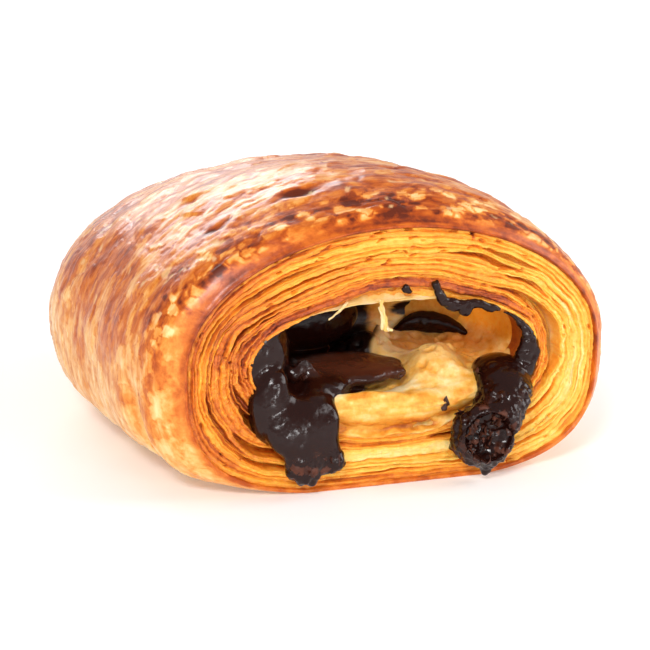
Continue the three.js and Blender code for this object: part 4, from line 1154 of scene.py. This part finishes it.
# Each solid: rods, lumps and a coat fused into one skin, moved along its normals by noises, crumbly low
# down, torn and hollowed where it broke
def makeChocolate():
    material = makeChocolateMaterial()
    halfWidth, halfHeight = batonEnds["halfWidth"], batonEnds["halfHeight"]
    starts = {"left": [(-17, 24, 20, halfWidth, halfHeight)],
              "right": [(20, 1, 12.4, 3.6, 2.2), (18.6, 13, 12.2, 4.2, 2.4), (16, 29, 14, 5, 3.2)]}
    batons = {side: starts[side] + [(batonEnds[side], t, batonEnds["z"], halfWidth, halfHeight)
                                    for t in (45, 70, roll["length"] - 2)] for side in ("left", "right")}
    front = (0, 1, 0)
    parts = {
        "chocolate_left": [rodPoints(batons["left"]), coatPoints(124, 262, 0.6, 29, 1.6),
                           rodPoints(leftShelf), rodPoints(leftDrip, facing=front),
                           lumpPoints(-12.9, -2.8, 6.6, 2.7, 2.3, 2.7),
                           lumpPoints(2.4, 4.6, 18.9, 1.7, 1.5, 1.6),
                           lumpPoints(-22.8, 0.8, 16.5, 4.4, 3.4, 7), lumpPoints(-22.4, 12, 25, 5.4, 12, 8),
                           lumpPoints(-9.5, 27.5, 24.5, 12, 5.4, 6), lumpPoints(-12.5, 5.5, 18, 6, 5, 2.5),
                           lumpPoints(-4.5, 7, 18.6, 6, 4.2, 1.9)],
        "chocolate_right": [rodPoints(batons["right"]), rodPoints(rightMass),
                            lumpPoints(14.9, -4.4, 9, 6.1, 4.6, 6), rodPoints(rightTail, facing=front),
                            rodPoints(rightSmear, facing=front)],
        "chocolate_smear": [rodPoints(topSmear, facing=front), *(lumpPoints(*blob) for blob in topBlobs)],
        "chocolate_streak": [rodPoints(backStreak)],
    }
    for node, grids in parts.items():
        relax = chocolate["relaxLeft"] if node == "chocolate_left" else chocolate["relax"]
        mesh, points, normals = fuse(node, grids, chocolate["voxel"], relax)
        x, t, z = points[:, 0], points[:, 1] - roll["faceY"], points[:, 2]
        # Far ends, a little longer and broken off flat
        t = t + chocolate["farLonger"] * softStep(t, 86, 93)
        t = t - 0.6 * np.maximum(t - chocolate["farFlat"], 0)
        points[:, 1] = roll["faceY"] + t
        if node == "chocolate_right":
            r = np.hypot(x - hollow["x"], z - hollow["z"]) / hollow["radius"]
            bowl = hollow["depth"] * (1 - np.minimum(r, 1) ** 2) ** 0.7 * softStep(-3 - t, 0, 1.5)
            points[:, 1] += bowl
            points, normals = meshPoints(setPoints(mesh, points))
        rough = roughNoise(points, 2.4, 4, 201)
        gap, _, number = cellNoise(points, 1.3, 203)
        crumbly = softStep(1 - t, 0, 2.5) * softStep(10 - z, 0, 5)
        if node == "chocolate_right":
            crumbly = np.maximum(crumbly, softStep(4 - t, 0, 4) * softStep(19 - z, 0, 3))
        smear = softStep(z, 18.5, 21) * softStep(2.2 - t, 0, 1) if node == "chocolate_right" else 0 * t
        if node in ("chocolate_smear", "chocolate_streak"):
            smear = (1 if node == "chocolate_smear" else 0.3) + 0 * t
        relief = (0.2 if node == "chocolate_left" else 0.12) * rough \
            + smear * (0.36 * roughNoise(points, 1.3, 3, 205) + 0.3 * (0.45 - gap)) \
            + crumbly * (0.5 * rough + 0.65 * (0.5 - gap))
        if node == "chocolate_left":
            relief = relief + 0.45 * latticeNoise(points, 3.6, 209) * softStep(2 - t, 0, 3)
            tear = np.exp(-((x + 17.5) / 1.7) ** 2 - ((z - 20.6) / 1.6) ** 2) * softStep(8 - t, 0, 4)
            relief = relief - 2.2 * tear
        tip = np.exp(-((x - 2.8) / 1.2) ** 2 - ((z - 18.4) / 1.1) ** 2) * softStep(6 - t, 0, 2.5)
        if node == "chocolate_left":
            relief = relief - 1.3 * tip
        dry = crumbly * softStep(number, 0.74, 0.95)
        if node == "chocolate_right":
            dry = dry * (0.15 + 0.85 * softStep(1.35 - r, 0, 0.3))
        dry = np.maximum(dry, 0.5 * softStep(t, 90, 93))
        # Lighter red-brown on the shelf and the right mass's top: partly thinner chocolate, partly painted
        # sheen
        thinAndSheen = softStep(t, 2, 6) * softStep(z, 17, 19) * softStep(x, -18, -13)
        if node == "chocolate_left":
            thinAndSheen = 0.95 * thinAndSheen * softStep(22.6 - z, 0, 1.4) * softStep(17 - t, 0, 4)
        else:
            thinAndSheen = (0.6 if node == "chocolate_right" else 0) * thinAndSheen * softStep(25 - z, 0, 3)
        marks = {"dry": dry, "thinAndSheen": thinAndSheen + 0.5 * tip * (node == "chocolate_left")}
        addPiece(node, setPoints(mesh, points + relief[:, None] * normals, marks), material, node)
    return material


chocolateMaterial = makeChocolate()

# Broken bits: thin curled shards of chocolate in the hollow end and beside it, and loose crumbs of it
shards = {"count": 46, "length": (0.8, 2.2), "thickness": 0.16}


# Shard: a narrow strip bent to an arc, twisted, with a ragged outline; place and turn are drawn at random
def shardPoints(draw, middle, length, bendOut):
    turn = np.linspace(0, 2 * np.pi, 10, endpoint=False)[None, :]
    u = np.linspace(-1, 1, 12)[:, None]
    halfWidth = 0.34 * length * (1 - u ** 4) * (0.8 + 0.3 * np.sin(4 * u + draw.random() * 6))
    x = u * length / 2 + 0 * turn
    y = np.cos(turn) * np.maximum(halfWidth, 0.05)
    z = np.sin(turn) * shards["thickness"] / 2 + bendOut * u ** 2 \
        + 0.3 * bendOut * np.sin(3 * u) * np.cos(turn)
    strip = np.stack([x, y, z + 0 * x], -1)
    a, b, c = draw.random(3) * 2 * np.pi
    spinX = np.array([[1, 0, 0], [0, np.cos(a), -np.sin(a)], [0, np.sin(a), np.cos(a)]])
    spinY = np.array([[np.cos(b), 0, np.sin(b)], [0, 1, 0], [-np.sin(b), 0, np.cos(b)]])
    spinZ = np.array([[np.cos(c), -np.sin(c), 0], [np.sin(c), np.cos(c), 0], [0, 0, 1]])
    return strip @ (spinZ @ spinY @ spinX).T + middle


# Shards laid at random on the bowl of the hollow end, and pairs of them loose on the chocolate
def makeShards():
    draw = np.random.default_rng(11)
    grids = []
    for _ in range(shards["count"]):
        radius, angle = 4.4 * draw.random() ** 0.6, draw.random() * 2 * np.pi
        back = -8.2 + 3.8 * (1 - (radius / 4.5) ** 2) - 0.5 * draw.random()
        middle = (hollow["x"] + radius * np.cos(angle), roll["faceY"] + back,
                  hollow["z"] + radius * np.sin(angle))
        length = draw.uniform(*shards["length"])
        grids.append(shardPoints(draw, middle, length, draw.uniform(-0.4, 0.5)))
    loose = [(9.2, -1.4, 14.2, 2.2), (11.4, -2.6, 13.1, 3.2), (24.4, -0.6, 13.6, 1.5),
             (-17.6, -4.6, 5.2, 1.4), (-14, -4.6, 7.2, 1.3), (17.2, -2.6, 17.4, 1.3), (15.6, 0.8, 19, 1.2),
             (23.6, 0.4, 17.2, 1.1), (-16.6, 1.2, 20.6, 1.3)]
    for x, t, z, length in loose:
        for k in range(2):
            nudge = draw.normal(0, 0.3, 3)
            grids.append(shardPoints(draw, (x + nudge[0], roll["faceY"] + t + nudge[1], z + nudge[2]),
                                     length, draw.uniform(0.1, 0.6)))
    mesh = heapMesh("chocolate_shards", grids,
                    {"dry": draw.uniform(0.2, 1, len(grids)), "thinAndSheen": [0.0] * len(grids)})
    addPiece("chocolate_shards", mesh, chocolateMaterial, "chocolate_right")


makeShards()

# Threads of crumb torn from the lip, each a few strands that wander by up to spread mm: stations of (x, t, z,
# half width, half height)
crumbThreads = {
    "shred": {"strands": 7, "spread": 0.5, "stations": [
        (-2.5, 0.9, 33.9, 0.26, 0.2), (-2.6, 0.5, 32.6, 0.3, 0.2), (-2.5, 0.3, 31.3, 0.24, 0.2),
        (-2.4, 0.2, 30, 0.28, 0.2), (-2.1, 0.1, 28.9, 0.42, 0.3), (-1.2, 0.1, 28.5, 0.2, 0.15)]},
    "thread": {"strands": 3, "spread": 0.25, "stations": [
        (-12.4, 0.6, 31.2, 0.08, 0.08), (-11.4, 0.5, 31.7, 0.14, 0.12), (-10.4, 0.5, 32.5, 0.18, 0.14),
        (-9.4, 0.7, 33.4, 0.2, 0.16), (-9, 0.9, 33.9, 0.12, 0.12)]},
}


# Each strand: a rod through its stations, nudged at random, its width made ragged by noise
def makeThreads(material):
    draw = np.random.default_rng(5)
    grids = []
    for thread in crumbThreads.values():
        for _ in range(thread["strands"]):
            stations = np.array(thread["stations"])
            stations[:, :3] += draw.normal(0, thread["spread"] / 2, stations[:, :3].shape) * (1, 0.6, 0.6)
            points = rodPoints(stations[draw.integers(0, 2):], sides=20, rows=60, facing=(0, 1, 0))
            middle = points.mean(axis=1, keepdims=True)
            ragged = 1 + 0.6 * roughNoise(points, 0.7, 3, 301)
            grids.append(middle + (points - middle) * ragged[..., None]
                         + 0.12 * roughNoise(points, 1.1, 2, 303)[..., None])
    marks = draw.uniform(0.1, 0.35, len(grids))
    mesh = heapMesh("crumb_threads", grids, {"brown": marks, "stain": [0.0] * len(grids),
                                             "glow": [0.0] * len(grids)})
    addPiece("crumb_threads", mesh, material, "pastry")


makeThreads(crumbMaterial)
